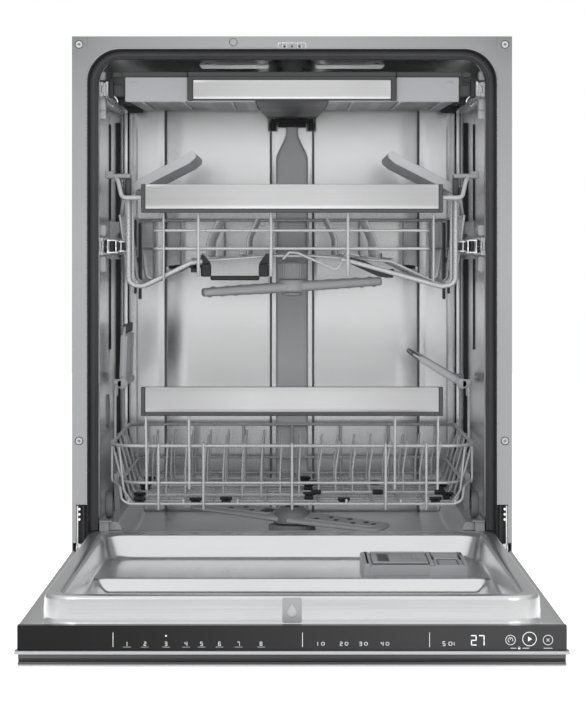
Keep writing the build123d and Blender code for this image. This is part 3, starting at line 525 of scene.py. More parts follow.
def door_panel():
    mb = MB()
    near, far = -24.0, -675.0

    def ring(half, inset_n, inset_f, r, z, follow=False):
        pts = round_rect(-half, half, far + inset_f, near - inset_n, r, z, 10)
        if z > 152 and not follow:
            for p in pts:       # the rim is a little lower at the hinge
                p.z -= (z - 152) / 29.0 * 3.0 * (p.y - far) / (near - far)
        if follow:
            for p in pts:
                p.z = pan_z(p.x, p.y) + (z - 150.0)
        return pts

    flat = lambda e, z: round_rect(-298 + e, 298 - e, -683 + e, -10 - e, 3.0, z, 10)
    rings = [
        flat(1.0, 149.2), flat(0.2, 149.6), flat(0, 150.3), flat(0.5, 151.0),
        ring(277.0, -3.0, -3.0, 43.0, 151.0), ring(276.4, -2.4, -2.4, 42.4, 151.25), ring(275.8, -1.8, -1.8, 41.8, 152.4),
        ring(275.35, -1.35, -1.35, 41.35, 156.0), ring(274, 0, 0, 40, 175.6), ring(273.4, 0.6, 0.6, 39.5, 178.6),
        ring(271.8, 2.2, 2.2, 38, 180.5), ring(269.5, 4.5, 4.0, 36, 181.0), ring(262, 20, 10, 31, 181.35),
        ring(255.5, 32, 17, 27, 181.1), ring(253.2, 35, 19.4, 26, 180.2), ring(252, 36.6, 20.8, 26, 178.0),
        ring(248.6, 47, 28.6, 38, 154.8, True), ring(247.2, 50, 31.4, 39, 151.2, True), ring(245, 53.5, 35, 40, 150.0, True),
    ]
    mb.rings(rings, True, False, False)
    o = mb.obj("door_inner_skin", "door", "stainless", "stainless_d", ["door_inner_panel"], sharp=60)
    # recess floor
    fl = MB()
    x0, x1, y0, y1 = -246.4, 246.4, far + 33.5, near - 52.0
    xs = [x0 + 3.0 * k for k in range(14)] + [-200 + 20.0 * k for k in range(21)] + [x1 - 3.0 * k for k in range(13, -1, -1)]
    ys = [y0 + 3.0 * k for k in range(14)] + [-580 + 30.0 * k for k in range(9)] + [-318 + 2.0 * k for k in range(17)]
    ys += [-280 + 14.0 * k for k in range(14)] + [y1]
    nx, ny = len(xs) - 1, len(ys) - 1
    verts = [(x, y, pan_z(x, y) - 0.04) for y in ys for x in xs]
    faces = [(j * (nx + 1) + i, j * (nx + 1) + i + 1, (j + 1) * (nx + 1) + i + 1, (j + 1) * (nx + 1) + i) for j in range(ny) for i in range(nx)]
    fl.add(verts, faces)
    o2 = fl.obj("door_recess_floor", "door", "stainless", "stainless_d", sharp=60)
    s = o2.modifiers.new("thick", "SOLIDIFY")
    s.thickness = 0.0008
    s.offset = -1
    # screw dimples on the flange
    d = MB()
    for x in (-272, 272):
        d.lathe((x, -668, 150.9), (0, 0, 1), [(4.2, 0), (4.2, 0.25), (3.4, 0.5), (1.6, 0.55), (1.2, 0.1), (0.01, 0.1)], 24)
    for x in (-286, 286):
        for y in (-60, -150):
            d.lathe((x, y, 150.9), (0, 0, 1), [(4.6, 0), (4.4, 0.5), (2.8, 1.1), (0.01, 1.2)], 20)
    d.obj("door_panel_screws", "door", "bright_chrome", "chrome")
    return o


door_panel()


def latch():
    mb = MB()
    # insert plate with rounded corners, standing on the rim's far wall
    y = -675.8
    pts = [Vector((p.x, y - 1.4, 165.8 + p.y)) for p in round_rect(-10.5, 10.5, -13.6, 13.6, 1.6, 0, 4)]
    back = [p + Vector((0, 2.9, 0)) for p in pts]
    mb.rings([back, pts])
    mb.obj("latch_plate", "door", "grey_plastic", "insert", ["latch_insert"], bevel=0.4)
    # drop-shaped catch face
    c = MB()
    drop = []
    for k in range(28):
        a = 2 * math.pi * k / 28
        rr = 5.4
        px, pz = rr * math.sin(a), -rr * math.cos(a)
        if pz > 0:
            px *= max(0.0, 1 - (pz / rr) ** 1.25)
            pz *= 2.1
        drop.append(Vector((px, y - 1.4, 163.6 + pz)))
    ctr = Vector((0, y - 1.4, 164.5))
    r1 = [ctr + (p - ctr) * 0.96 + Vector((0, -0.55, 0)) for p in drop]
    r2 = [ctr + (p - ctr) * 0.80 + Vector((0, -0.9, 0)) for p in drop]
    r0 = [p + Vector((0, 10, 0)) for p in drop]
    c.rings([r0, drop, r1, r2])
    c.obj("latch_drop", "catch", "grey_plastic", "light", ["latch_catch"], sharp=50)


latch()


def control_strip():
    tip = -694.0
    mb = MB()
    mb.box(-298, 298, tip, -683.4, 125.1, 152.0)
    mb.box(-236, 236, -684.0, -676.1, 150.5, 151.4)
    mb.obj("control_face", "door", "control_black", "gloss", ["control_fascia"], bevel=0.7)
    t = MB()
    t.box(-301, 301, -697.0, -683.4, 120.7, 124.9)
    t.obj("control_trim", "door", "trim_aluminium", "trim", ["fascia_trim"], bevel=0.9, seg=3)
    # door edge under the trim: dark bar, a gap filled by a black bar as painted shade, second bar and the bright edge
    # of the outer sheet
    e = MB()
    e.box(-296.8, 296.8, -694.6, -684, 116.4, 120.5)
    e.box(-296.8, 296.8, -694.3, -684, 109.9, 112.6)
    e.obj("door_edge_bar", "door", "dark_plastic", "edge", bevel=0.4)
    lip = MB()
    lip.box(-296.8, 296.8, -694.2, -689.6, 107.4, 109.8)
    lip.obj("door_edge_lip", "door", "galvanised", "trim", bevel=0.5)
    g = MB()
    g.box(-296.4, 296.4, -691.2, -684, 112.7, 116.3)
    g.obj("door_edge_gap_shade", "door", "black_plastic", "black", bevel=0.3)
    # lines, numerals and symbols, raised 0.15 mm like printing
    k = MB()
    yf = tip - 0.12

    def px(x, y):
        """Place on the strip's face from photo pixels."""
        return (x - 292.0) / 0.9225, 559.0 - (y - 250.0) / 0.9225

    def bar(x0, z0, x1, z1, w):
        a, b = Vector((x0, 0, z0)), Vector((x1, 0, z1))
        d = (b - a).normalized()
        n = Vector((-d.z, 0, d.x)) * w / 2
        q = [a + n, a - n, b - n, b + n]
        k.rings([[Vector((p.x, yf, p.z)) for p in q], [Vector((p.x, yf + 0.14, p.z)) for p in q]])

    def circle(x, z, r, w, a0=0.0, a1=360.0, n=40):
        pts = []
        full = a1 - a0 >= 360
        m = n if full else n + 1
        ang = [math.radians(a0 + (a1 - a0) * i / n) for i in range(m)]
        o = [Vector((x + (r + w / 2) * math.cos(a), yf, z + (r + w / 2) * math.sin(a))) for a in ang]
        i_ = [Vector((x + (r - w / 2) * math.cos(a), yf, z + (r - w / 2) * math.sin(a))) for a in ang]
        down = Vector((0, 0.14, 0))
        rings = [[p for p in o], [p for p in i_], [p + down for p in i_], [p + down for p in o]]
        verts = [p for r_ in rings for p in r_]
        faces = []
        for s in range(4):
            for j in range(m if full else m - 1):
                a, b = s * m + j, s * m + (j + 1) % m
                c, d = ((s + 1) % 4) * m + (j + 1) % m, ((s + 1) % 4) * m + j
                faces.append((a, b, c, d))
        k.add(verts, faces)

    for x in (113.0, 302.5, 429.6):
        a, z0 = px(x, 632.5)
        _, z1 = px(x, 647.0)
        bar(a, z0, a, z1, 0.55)
    SEG = {
        "0": "abcdef", "1": "bc", "2": "abged", "3": "abgcd", "4": "fgbc", "5": "afgcd", "6": "afgedc", "7": "abc",
        "8": "abcdefg", "9": "abcdfg",
    }

    def digit(ch, x, z, h, w, t):
        lines = {
            "a": (0, h, w, h), "b": (w, h / 2, w, h), "c": (w, 0, w, h / 2), "d": (0, 0, w, 0), "e": (0, 0, 0, h / 2),
            "f": (0, h / 2, 0, h), "g": (0, h / 2, w, h / 2),
        }
        for s in SEG[ch]:
            a, b, c, d = lines[s]
            u, v = Vector((a, 0, b)), Vector((c, 0, d))
            q = (v - u).normalized() * t * 0.35
            if ch == "1":
                u, v = u - Vector((w / 2, 0, 0)), v - Vector((w / 2, 0, 0))
            u, v = u - q * 0, v + q * 0
            bar(x + u.x - q.x, z + u.z - q.z, x + v.x + q.x, z + v.z + q.z, t)

    # programme numerals 1 to 8, option numerals 1 to 4 and one symbol, at the label places
    for i, x in enumerate((127, 145, 166, 186, 201.5, 219.5, 238.5, 261)):
        a, z = px(x, 645.6)
        digit(str(i + 1), a - 1.1, z, 3.9, 2.2, 0.5)
        bar(a - 4.2, z - 1.6, a + 4.2, z - 1.6, 0.25)
    for i, x in enumerate((320, 343.5, 363, 384.5)):
        a, z = px(x, 645.6)
        digit(str(i + 1), a - 3.6, z, 3.9, 2.2, 0.5)
        circle(a + 3.2, z + 2.0, 1.7, 0.45)
    a, z = px(448, 645.6)
    digit("5", a - 5.6, z, 4.2, 2.4, 0.55)
    circle(a + 2.6, z + 2.1, 1.9, 0.5)
    bar(a + 6.6, z + 0.2, a + 6.6, z + 4.0, 0.5)
    # remaining-minutes display
    a, z = px(471.5, 645.0)
    digit("2", a, z, 10.2, 5.0, 1.15)
    digit("7", a + 8.6, z, 10.2, 5.0, 1.15)
    # lamp dot
    a, z = px(166, 635.8)
    k.lathe((a, yf + 0.14, z), (0, -1, 0), [(1.0, 0), (1.0, 0.14), (0.7, 0.22), (0.01, 0.24)], 20)
    # three round touch marks
    a, z = px(510.5, 640)
    circle(a, z, 5.2, 0.5)
    circle(a, z, 2.6, 0.45, -30, 250, 24)
    bar(a, z, a, z + 2.0, 0.4)
    a, z = px(529.5, 639)
    circle(a, z, 7.4, 0.65)
    tri = [(a - 1.5, z - 2.7), (a + 2.6, z), (a - 1.5, z + 2.7)]
    k.rings([[Vector((p[0], yf, p[1])) for p in tri], [Vector((p[0], yf + 0.14, p[1])) for p in tri]])
    a, z = px(548, 640)
    circle(a, z, 5.2, 0.5)
    bar(a - 1.6, z - 1.6, a + 1.6, z + 1.6, 0.45)
    bar(a - 1.6, z + 1.6, a + 1.6, z - 1.6, 0.45)
    # key lock under the first two marks, short bars where the words stood
    a, z = px(519.2, 648.6)
    bar(a - 1.2, z, a + 1.2, z, 1.5)
    circle(a, z + 0.9, 0.9, 0.4, 0, 180, 12)
    for x0, x1 in ((510.6, 516.2), (522.4, 529.4), (543.6, 552.4)):
        a, z = px(x0, 648.2)
        b, _ = px(x1, 648.2)
        bar(a, z, b, z, 0.55)
    k.obj("control_marks", "door", "white_plastic", "icon", sharp=30)


control_strip()


# ================================================================ tub
def u_path(h, top, r, z0, n=12, m=10):
    """Inverted-U outline in (x, z): up the left, over, down the right; n steps in each corner, m up each side."""
    out = [(-h, z0 + (top - r - z0) * k / m) for k in range(m)]
    out += [(-h + r - r * math.cos(math.pi / 2 * k / n), top - r + r * math.sin(math.pi / 2 * k / n)) for k in range(n + 1)]
    out += [(-h + r + (2 * h - 2 * r) * k / m, top) for k in range(1, m)]
    return out + [(-x, z) for x, z in reversed(out[: m + n + 1])]


def groove(d, half):
    """Rounded groove section: 1 on its axis, 0 from half outwards."""
    d = abs(d) / half
    return 0.0 if d >= 1 else 0.5 + 0.5 * math.cos(math.pi * d)


def tub_skin():
    rows = [46.0, 60, 100, 150, 200, 230] + [234 + 1.5 * k for k in range(13)] + [258, 290, 330, 350, 362]
    rows += [380, 400, 415] + [422 + 2.0 * k for k in range(13)] + [455, 475, 488]
    stations = [(y, 267.0, 826.0, 40.0) for y in rows]
    for k in range(1, 9):
        a = math.pi / 2 * k / 8
        stations.append((488 + 12 * math.sin(a), 267 - 11 * (1 - math.cos(a)), 826 - 10 * (1 - math.cos(a)), 40 - 4 * k / 8))
    rings = []
    for y, h, top, r in stations:
        ring = []
        for x, z in u_path(h, top, r, 183.0, 12, 60):
            px_, pz = x, z
            side = 1.0 if abs(x) > h - 1 else 0.0
            if side:
                s = math.copysign(1.0, x)
                fade = step(404, 424, z) * (1 - step(752, 770, z))
                px_ += s * 2.6 * groove(y - 243, 8.5) * fade          # narrow vertical bead
                low = step(396, 372, z) * step(70, 110, y) * (1 - step(330, 400, y))
                px_ += s * 1.8 * low                                   # pressed field over the wheel path
            elif pz > top - 1:
                px_, pz = x, z + 2.2 * groove(abs(x) - 120, 12) * step(80, 110, y) * (1 - step(420, 450, y))
            ring.append(Vector((px_, y, pz)))
        rings.append(ring)
    mb = MB()
    mb.rings(rings, False, False, False)
    o = mb.obj("tub_walls", "cabinet", "stainless", "stainless_v", ["tub_wrapper"], sharp=70)
    s = o.modifiers.new("thick", "SOLIDIFY")
    s.thickness, s.offset = 0.0008, -1
    # pressed steps of the ceiling, either side of the pipe
    rg = MB()
    for s_ in (-1, 1):
        for y, x0, x1, d in ((58, 26, 97, 4.2), (198, 33, 134, 6.0)):
            prof = [(y, 826.2), (y + 0.2, 826.2 - d), (y + 6, 826.0 - d), (y + 22, 826.2)]
            rg.rings([[Vector((s_ * x, y + (yy - y) * k, 826.2 + (z - 826.2) * k)) for yy, z in prof] for x, k in ((x0, 0.1), (x0 + 2, 1.0), (x1 - 5, 1.0), (x1, 0.1))])
    rg.obj("tub_ceiling_steps", "cabinet", "stainless", "stainless_v", sharp=30)
    # back wall with its pressed vertical beads
    cols = set([-256.2, -240, -225, -210, -160, -120, -80, -60, -48, -40, -15, 0, 15, 40, 48, 60, 80, 120, 160, 210, 225, 240, 256.2])
    for c, w in ((197, 2.6), (33, 2.2)):
        for k in range(-6, 7):
            cols.update((c + w * k / 6, -c + w * k / 6))
    cols = sorted(cols)
    zs = [139.0, 170, 220, 300, 400, 500, 600, 680, 715] + [740] + [755 + 3 * k for k in range(13)] + [800, 816.5]
    verts = []
    for z in zs:
        for x in cols:
            d = 3.0 * groove(abs(x) - 197, 2.6) * (1 - step(778, 788, z))
            d += 2.2 * groove(abs(x) - 33, 2.2) * (1 - step(762, 772, z))
            verts.append((x, 500.0 + d, z))
    n = len(cols)
    faces = [(j * n + i, j * n + i + 1, (j + 1) * n + i + 1, (j + 1) * n + i) for j in range(len(zs) - 1) for i in range(n - 1)]
    b = MB().add(verts, faces)
    o = b.obj("tub_back", "cabinet", "stainless", "stainless_v", ["tub_back_wall"], sharp=70)
    s = o.modifiers.new("thick", "SOLIDIFY")
    s.thickness, s.offset = 0.0008, 1
    # black strips along the side beads, and the lens-shaped vent of the left wall
    q = MB()
    for s_ in (-1, 1):
        for z0, z1 in ((414, 546), (602, 742)):
            q.rings([[Vector((s_ * x, y, z)) for x, y in ((269.0, 240.4), (264.8, 240.4), (263.8, 241.4), (263.8, 244.6), (264.8, 245.6), (269.0, 245.6))] for z in (z0, z0 + 1, z1 - 1, z1)])
        # black posts at the back of the side walls, each with a groove down its face: painted shade, dark sheets where
        # the rear corners show only shade
        for z0, z1 in ((252, 545), (602, 752)):
            sec = [(268.0, 388.0), (261.8, 388.0), (260.6, 389.4), (260.6, 392.4), (261.6, 393.6), (261.6, 398.4), (260.6, 399.6), (260.6, 402.6), (261.8, 404.0), (268.0, 404.0)]
            q.rings([[Vector((s_ * (x + e), y, z)) for x, y in sec] for z, e in ((z0, 1.2), (z0 + 2, 0), (z1 - 2, 0), (z1, 1.2))])
    q.obj("side_strips_and_shade_posts", "cabinet", "dark_plastic", "black", sharp=40)
    v = MB()
    lens = lambda k, x: [Vector((x, 222 + 15 * k * math.copysign(abs(math.cos(a)) ** 1.3, math.cos(a)), 325 + 25 * k * math.sin(a))) for a in [2 * math.pi * j / 40 for j in range(40)]]
    v.rings([lens(1.0, -268.4), lens(1.0, -265.6), lens(0.94, -264.9), lens(0.80, -264.9), lens(0.74, -266.0), lens(0.02, -265.4)])
    for k in range(5):
        z = 325 + (k - 2) * 7.0
        v.tube([(-265.6, 214 + abs(k - 2), z), (-265.6, 230 - abs(k - 2), z)], 0.8, 8)
    v.obj("side_vent", "cabinet", "grey_plastic", "doser", sharp=40)


def floor_level(x, y):
    a = abs(x)
    z = 139.9
    r = math.hypot(x - 100, y - 165)
    z += max(0.0, 0.030 * (y - 150), 0.041 * (a - 60)) * step(82, 125, r)     # rear and sides fall towards the filter
    z += (183.0 - z) * step(229, 240, a)
    z = max(z, 139.9 + 32 * step(57, 46, y))
    z = max(z, 139.9 + 10.0 * step(486, 500, y))
    return z


def tub_bottom():
    xs = sorted(set([-268.0 + 2.0 * k for k in range(26)] + [-216 + 8.0 * k for k in range(55)] + [218 + 2.0 * k for k in range(26)]))
    ys = [46 + 1.6 * k for k in range(9)] + [62 + 8.0 * k for k in range(53)] + [482 + 3.0 * k for k in range(7)]
    verts = [(x, y, floor_level(x, y)) for y in ys for x in xs]
    n = len(xs)
    faces = []
    for j in range(len(ys) - 1):
        for i in range(n - 1):
            cx, cy = (xs[i] + xs[i + 1]) / 2, (ys[j] + ys[j + 1]) / 2
            if math.hypot(cx - 100, cy - 165) > 60:
                faces.append((j * n + i, j * n + i + 1, (j + 1) * n + i + 1, (j + 1) * n + i))
    mb = MB().add(verts, faces)
    o = mb.obj("tub_bottom", "cabinet", "stainless", "stainless_floor", ["tub_floor"], sharp=70)
    s = o.modifiers.new("thick", "SOLIDIFY")
    s.thickness, s.offset = 0.0008, -1
    # sill across the entry
    prof = [(2, 122), (2, 168), (2.6, 170.4), (4.4, 171.8), (10, 172.2), (38, 172.2), (43, 172.0), (45.4, 170.6), (46.2, 168), (46.2, 141)]
    sill = MB()
    sill.rings([[Vector((x, y, z)) for y, z in prof] for x in (-277.4, -200, 0, 200, 277.4)], False, False, False)
    o = sill.obj("tub_sill", "cabinet", "stainless", "stainless_floor", sharp=50)
    s = o.modifiers.new("thick", "SOLIDIFY")
    s.thickness, s.offset = 0.001, -1
    # folded corner pieces between the sill and the wheel ledges
    cp = MB()
    for s_ in (-1, 1):
        out = [(233.6, 172.4), (265.6, 172.4), (265.6, 183.8), (242.4, 183.8), (239.4, 182.8), (236.6, 178.8)]
        cp.prism([(s_ * x, 44.6, z) for x, z in out], (0, 2.6, 0))
        out = [(252.0, 172.0), (265.4, 172.0), (265.4, 186.0), (252.0, 186.0)]
        cp.prism([(s_ * x, 36.0, z) for x, z in out], (0, 6.0, 0))
        cp.prism([(s_ * x, 33.0, z) for x, z in ((248.0, 184.6), (265.4, 184.6), (265.4, 186.8), (248.0, 186.8))], (0, 13.0, 0))
    cp.obj("tub_corner_folds", "cabinet", "grey_plastic", "doser", bevel=0.6)
    # filter plate: drawn disc with rows of drain slots round the coarse filter
    f = MB()
    f.lathe((100, 165, 140.0), (0, 0, 1), [(78, 0.2), (78.4, 0.9), (77, 1.9), (72, 2.3), (46, 1.6), (42, 2.2), (39.4, 2.2), (39.0, 1.6), (39.0, 0.2), (60, 0.1)], 64)
    f.obj("filter_disc", "cabinet", "stainless", "stainless_floor", ["filter_plate"], sharp=50)
    # the drain holes are black studs on the disc: painted shade in place of openings
    h = MB()
    for ring_r, cnt in ((50, 30), (56.5, 34), (63, 38), (69, 42)):
        for k in range(cnt):
            a = 2 * math.pi * (k + (0.5 if ring_r in (56.5, 69) else 0)) / cnt
            x, y = 100 + ring_r * math.cos(a), 165 + ring_r * math.sin(a)
            h.lathe((x, y, 141.3), (0, 0, 1), [(1.9, 0), (1.9, 1.0), (1.4, 1.12), (0.01, 1.12)], 10)
    h.obj("filter_disc_hole_shades", "cabinet", "black_plastic", "black")
    # coarse filter: ribbed cup with a cross grip
    c = MB()
    c.lathe((100, 165, 70), (0, 0, 1), [(30, 0), (34, 1.5), (36.5, 6), (37.2, 70), (38.2, 72.6), (38.2, 73.6), (36.8, 74.2), (34.4, 74.2), (33.6, 73.4), (33.2, 62), (0.01, 60)], 64)
    for k in range(24):
        a = 2 * math.pi * k / 24
        d = Vector((math.cos(a), math.sin(a), 0))
        p = Vector((100, 165, 0)) + d * 34.2
        c.tube([p + Vector((0, 0, 133.5)), p + Vector((0, 0, 143.6))], 0.9, 6)
    c.obj("filter_cup", "filter", "grey_plastic", "grey", ["filter_basket"], sharp=40)
    g = MB()
    for a in (20, 110):
        d = Vector((math.cos(math.radians(a)), math.sin(math.radians(a)), 0))
        e = Vector((-d.y, d.x, 0))
        o_ = Vector((100, 165, 0))
        ring = lambda k, z, w: [o_ + d * k * s1 + e * w * s2 + Vector((0, 0, z)) for s1, s2 in ((-1, -1), (1, -1), (1, 1), (-1, 1))]
        g.rings([ring(33.0, 131, 3.0), ring(33.0, 144.5, 2.7), ring(26, 151.4, 2.4), ring(24.5, 152.6, 1.8)])
    g.obj("filter_grip", "filter", "grey_plastic", "light", bevel=0.6)


tub_skin()
tub_bottom()


def frontage():
    # channel of the entry, which holds the seal, coloured black as painted shade of the gap round the seal
    ch = MB()
    ch.rings([[Vector((x, y, z)) for x, z in u_path(h, t, r, 172.5, 14, 8)] for y, h, t, r in ((1.4, 278.8, 832.8, 45), (24, 278.7, 832.7, 45), (46.4, 278.6, 832.6, 45), (46.8, 267.2, 826.2, 40))], False, False, False)
    o = ch.obj("seal_channel_shade", "cabinet", "dark_plastic", "black", sharp=40)
    s = o.modifiers.new("thick", "SOLIDIFY")
    s.thickness, s.offset = 0.0008, -1
    # seal: bulb with a soft lip, drawn round the opening
    sec = [(0.1, 45.6), (0.1, 31.4), (0.4, 30.7), (2.0, 30.2), (4.4, 30.1), (6.4, 30.6), (7.8, 31.8), (8.5, 33.2), (10.0, 33.0), (11.4, 34.2), (11.9, 36.6), (10.8, 39.2), (9.2, 41.4), (9.0, 43.6), (8.2, 45.4)]
    rings = []
    for k in range(len(u_path(277, 831, 43.5, 173.6, 14, 10))):
        ring = []
        for u, y in sec:
            x, z = u_path(278.4 - u, 832.4 - u, 44.7 - u, 173.6, 14, 10)[k]
            ring.append(Vector((x, y, z)))
        rings.append(ring)
    g = MB()
    g.rings(rings)
    g.obj("seal", "cabinet", "rubber", "rubber", ["door_gasket"], sharp=40)
    # face frame: stiles, rail and rounded inner corners, with a rolled edge round the opening
    n, m = 12, 8
    inner = u_path(279.0, 833.0, 45, 212.2, n, m)
    outer = []
    for i, (x, z) in enumerate(inner):
        if i < m:
            outer.append((-299.3, z))
        elif i <= m + n:
            t = (i - m) / n
            if t <= 0.5:
                outer.append((-299.3, 787.8 + (849.8 - 787.8) * t * 2))
            else:
                outer.append((-299.3 + (299.3 - 233.8) * (t - 0.5) * 2, 849.8))
        elif i >= len(inner) - m:
            outer.append((299.3, z))
        elif i >= len(inner) - m - n - 1:
            t = (i - (len(inner) - m - n - 1)) / n
            if t <= 0.5:
                outer.append((233.8 + (299.3 - 233.8) * t * 2, 849.8))
            else:
                outer.append((299.3, 849.8 - (849.8 - 787.8) * (t - 0.5) * 2))
        else:
            outer.append((x, 849.8))
    lift = lambda pts, y, k: [Vector((x + (math.copysign(k, x) if abs(x) > 290 else 0), y, z + (k if z > 849 else 0))) for x, z in pts]
    f = MB()
    f.rings([lift(outer, 1.3, 0.1), lift(outer, 0.6, 0.15), lift(outer, 0.1, -0.3), [Vector((x, 0.0, z)) for x, z in [(a * 0.97 + c * 0.03, b * 0.97 + d * 0.03) for (a, b), (c, d) in zip(outer, inner)]], [Vector((x, 0, z)) for x, z in inner], [Vector((x, 1.3, z)) for x, z in inner]], False, False, False)
    for sx in (-1, 1):
        f.box(min(sx * 294, sx * 299.3), max(sx * 294, sx * 299.3), 0.0, 1.3, 160, 212.2)
    f.obj("face_frame", "cabinet", "flange_steel", "flange", ["front_flange"], sharp=40)
    bead = MB()
    bead.tube([(x, -0.1, z) for x, z in u_path(279.5, 833.5, 45.5, 212.4, 14, 6)], 0.7, 8)
    bead.obj("face_frame_bead", "cabinet", "flange_steel", "trim")
    seam = MB()
    for x in (-279.1, 279.1):
        seam.box(x - 0.16, x + 0.16, -0.06, 0.3, 833.8, 849.6)
    seam.obj("face_frame_seams", "cabinet", "dark_plastic", "dark")
    # fixing eyes with cross-slotted plugs, each in a dark ring, and the rail screw
    p, r, cr = MB(), MB(), MB()
    for x in (-290, 290):
        for z in (299, 839):
            p.lathe((x, 0.1, z), (0, -1, 0), [(4.7, -0.6), (4.7, 0.2), (4.2, 0.55), (2.6, 0.68), (0.01, 0.7)], 32)
            r.lathe((x, 0.0, z), (0, -1, 0), [(5.9, 0), (5.8, 0.3), (5.3, 0.5), (4.8, 0.3), (4.7, 0)], 32)
            # the cross slots are raised black bars: painted shade of the recesses
            cr.box(x - 2.2, x + 2.2, -0.72, -0.3, z - 0.45, z + 0.45)
            cr.box(x - 0.45, x + 0.45, -0.72, -0.3, z - 2.2, z + 2.2)
    pl = MB()
    pl.lathe((-80, 0.1, 842), (0, -1, 0), [(4.9, -0.6), (4.9, 0.2), (4.5, 0.5), (3.0, 0.58), (0.01, 0.6)], 32)
    pl.obj("rail_plug", "cabinet", "flange_steel", "flange", sharp=40)
    r.lathe((-80, 0.0, 842), (0, -1, 0), [(5.6, 0), (5.5, 0.25), (5.2, 0.4), (4.95, 0.25), (4.9, 0)], 32)
    p.obj("fixing_eyes", "cabinet", "flange_steel", "rack", sharp=40)
    r.obj("fixing_rings", "cabinet", "dark_plastic", "dark")
    cr.obj("fixing_slot_shades", "cabinet", "dark_plastic", "black")
    # striker: bent chrome loop with two legs and dark guide teeth
    k = MB()
    k.tube(bend([(-19, 12, 833), (-19, 0.2, 833), (-19, 0.2, 841), (19, 0.2, 841), (19, 0.2, 833), (19, 12, 833)], [1.5, 2.5, 2.5, 1.5], 5), 0.85, 10)
    for x in (-13, -7.5, 7.5, 13):
        k.tube([(x, 0.2, 841), (x, 0.2, 834.5)], 0.75, 8)
    k.box(-16, 16, 0.2, 1.2, 838.2, 840.4)
    k.obj("striker_loop", "cabinet", "bright_chrome", "chrome", ["latch_keeper"], sharp=40)
    t = MB()
    t.box(-15, 15, 1.3, 24, 832.4, 836.4)
    for x in (-10.2, 0.0, 10.2):
        t.lathe((x, 1.4, 836.2), (0, -1, 0), [(2.3, 0), (2.3, 0.9), (1.7, 1.4), (0.01, 1.4)], 16)
    t.obj("striker_guide", "cabinet", "black_plastic", "black", bevel=0.4)
    # hinge covers and links in the lower corners
    hc, hl = MB(), MB()
    for s_ in (-1, 1):
        x0, x1 = sorted((s_ * 278.6, s_ * 293.6))
        hc.box(x0, x1, 8.0, 40, 139, 211.6)
        for z in (163, 176, 189, 202):
            hc.box(x0, x1, 6.4, 8.2, z, z + 3)
        c = s_ * 283.9
        hc.box(min(c - 1.4, c + 1.4), max(c - 1.4, c + 1.4), 1.0, 8.2, 156, 211)
        a = s_ * 292.2
        strip = bend([(a, 3.0, 210.5), (a, 2.4, 188), (a, 1.2, 168), (a, -0.5, 153)], 30, 5)
        hl.rings([[p_ + Vector((d, e, 0)) for d, e in ((-1.0, -1.6), (1.0, -1.6), (1.0, 1.6), (-1.0, 1.6))] for p_ in strip])
        for z in (206, 199, 192):
            hl.lathe((a - s_ * 2.6, 2.0, z), (0, -1, 0), [(1.9, 0), (1.9, 1.6), (1.2, 2.2), (0.01, 2.2)], 16)
        hl.lathe((s_ * 293.4, 0, 153), (-s_, 0, 0), [(6.0, 0), (6.4, 0.6), (6.4, 1.6), (4.2, 2.2), (4.0, 9.6), (0.01, 9.6)], 28)
    hc.obj("hinge_covers", "cabinet", "black_plastic", "black", bevel=0.5)
    hl.obj("hinge_links", "cabinet", "bright_chrome", "chrome", ["hinge_brackets"], sharp=40)


frontage()


# ================================================================ racks: shared shapes
def rbox(mb, x0, x1, y0, y1, z0, z1, r=1.5, n=3):
    """Block with all its edges rounded."""
    r = min(r, (x1 - x0) * 0.49, (y1 - y0) * 0.49, (z1 - z0) * 0.49)
    rings = []
    for k in range(n + 1):
        a = math.pi / 2 * k / n
        e, z = r * (1 - math.sin(a)), z0 + r * (1 - math.cos(a))
        rings.append(round_rect(x0 + e, x1 - e, y0 + e, y1 - e, max(r - e * 0.6, 0.2), z, n))
    for k in range(n, -1, -1):
        a = math.pi / 2 * k / n
        e, z = r * (1 - math.sin(a)), z1 - r * (1 - math.cos(a))
        rings.append(round_rect(x0 + e, x1 - e, y0 + e, y1 - e, max(r - e * 0.6, 0.2), z, n))
    return mb.rings(rings)


def brushed_plate(name, body, half, z0, z1, node):
    """Face of a handle: thin sheet with rolled long edges, a shallow crown and folded ends."""
    mb = MB()
    prof = []
    for k in range(13):
        t = -1 + 2 * k / 12
        edge = 0.9 * max(0.0, abs(t) - 0.86) / 0.14
        prof.append((20.0 + edge ** 2 * 0.9 - 0.15 * (1 - t * t), z0 + 0.2 + (z1 - z0 - 0.4) * k / 12))
    xs = [-half, -half + 0.4, -half + 1.2, -half + 40, -half / 2, 0, half / 2, half - 40, half - 1.2, half - 0.4, half]
    rings = []
    for x in xs:
        e = 0.55 if abs(x) > half - 0.1 else (0.18 if abs(x) > half - 0.6 else 0.0)
        rings.append([Vector((x, y + e, z)) for y, z in prof] + [Vector((x, 21.2, z1 - 0.2)), Vector((x, 21.2, z0 + 0.2))])
    mb.rings(rings)
    mb.obj(name, body, "brushed_plate", "brushed", [node], sharp=40)


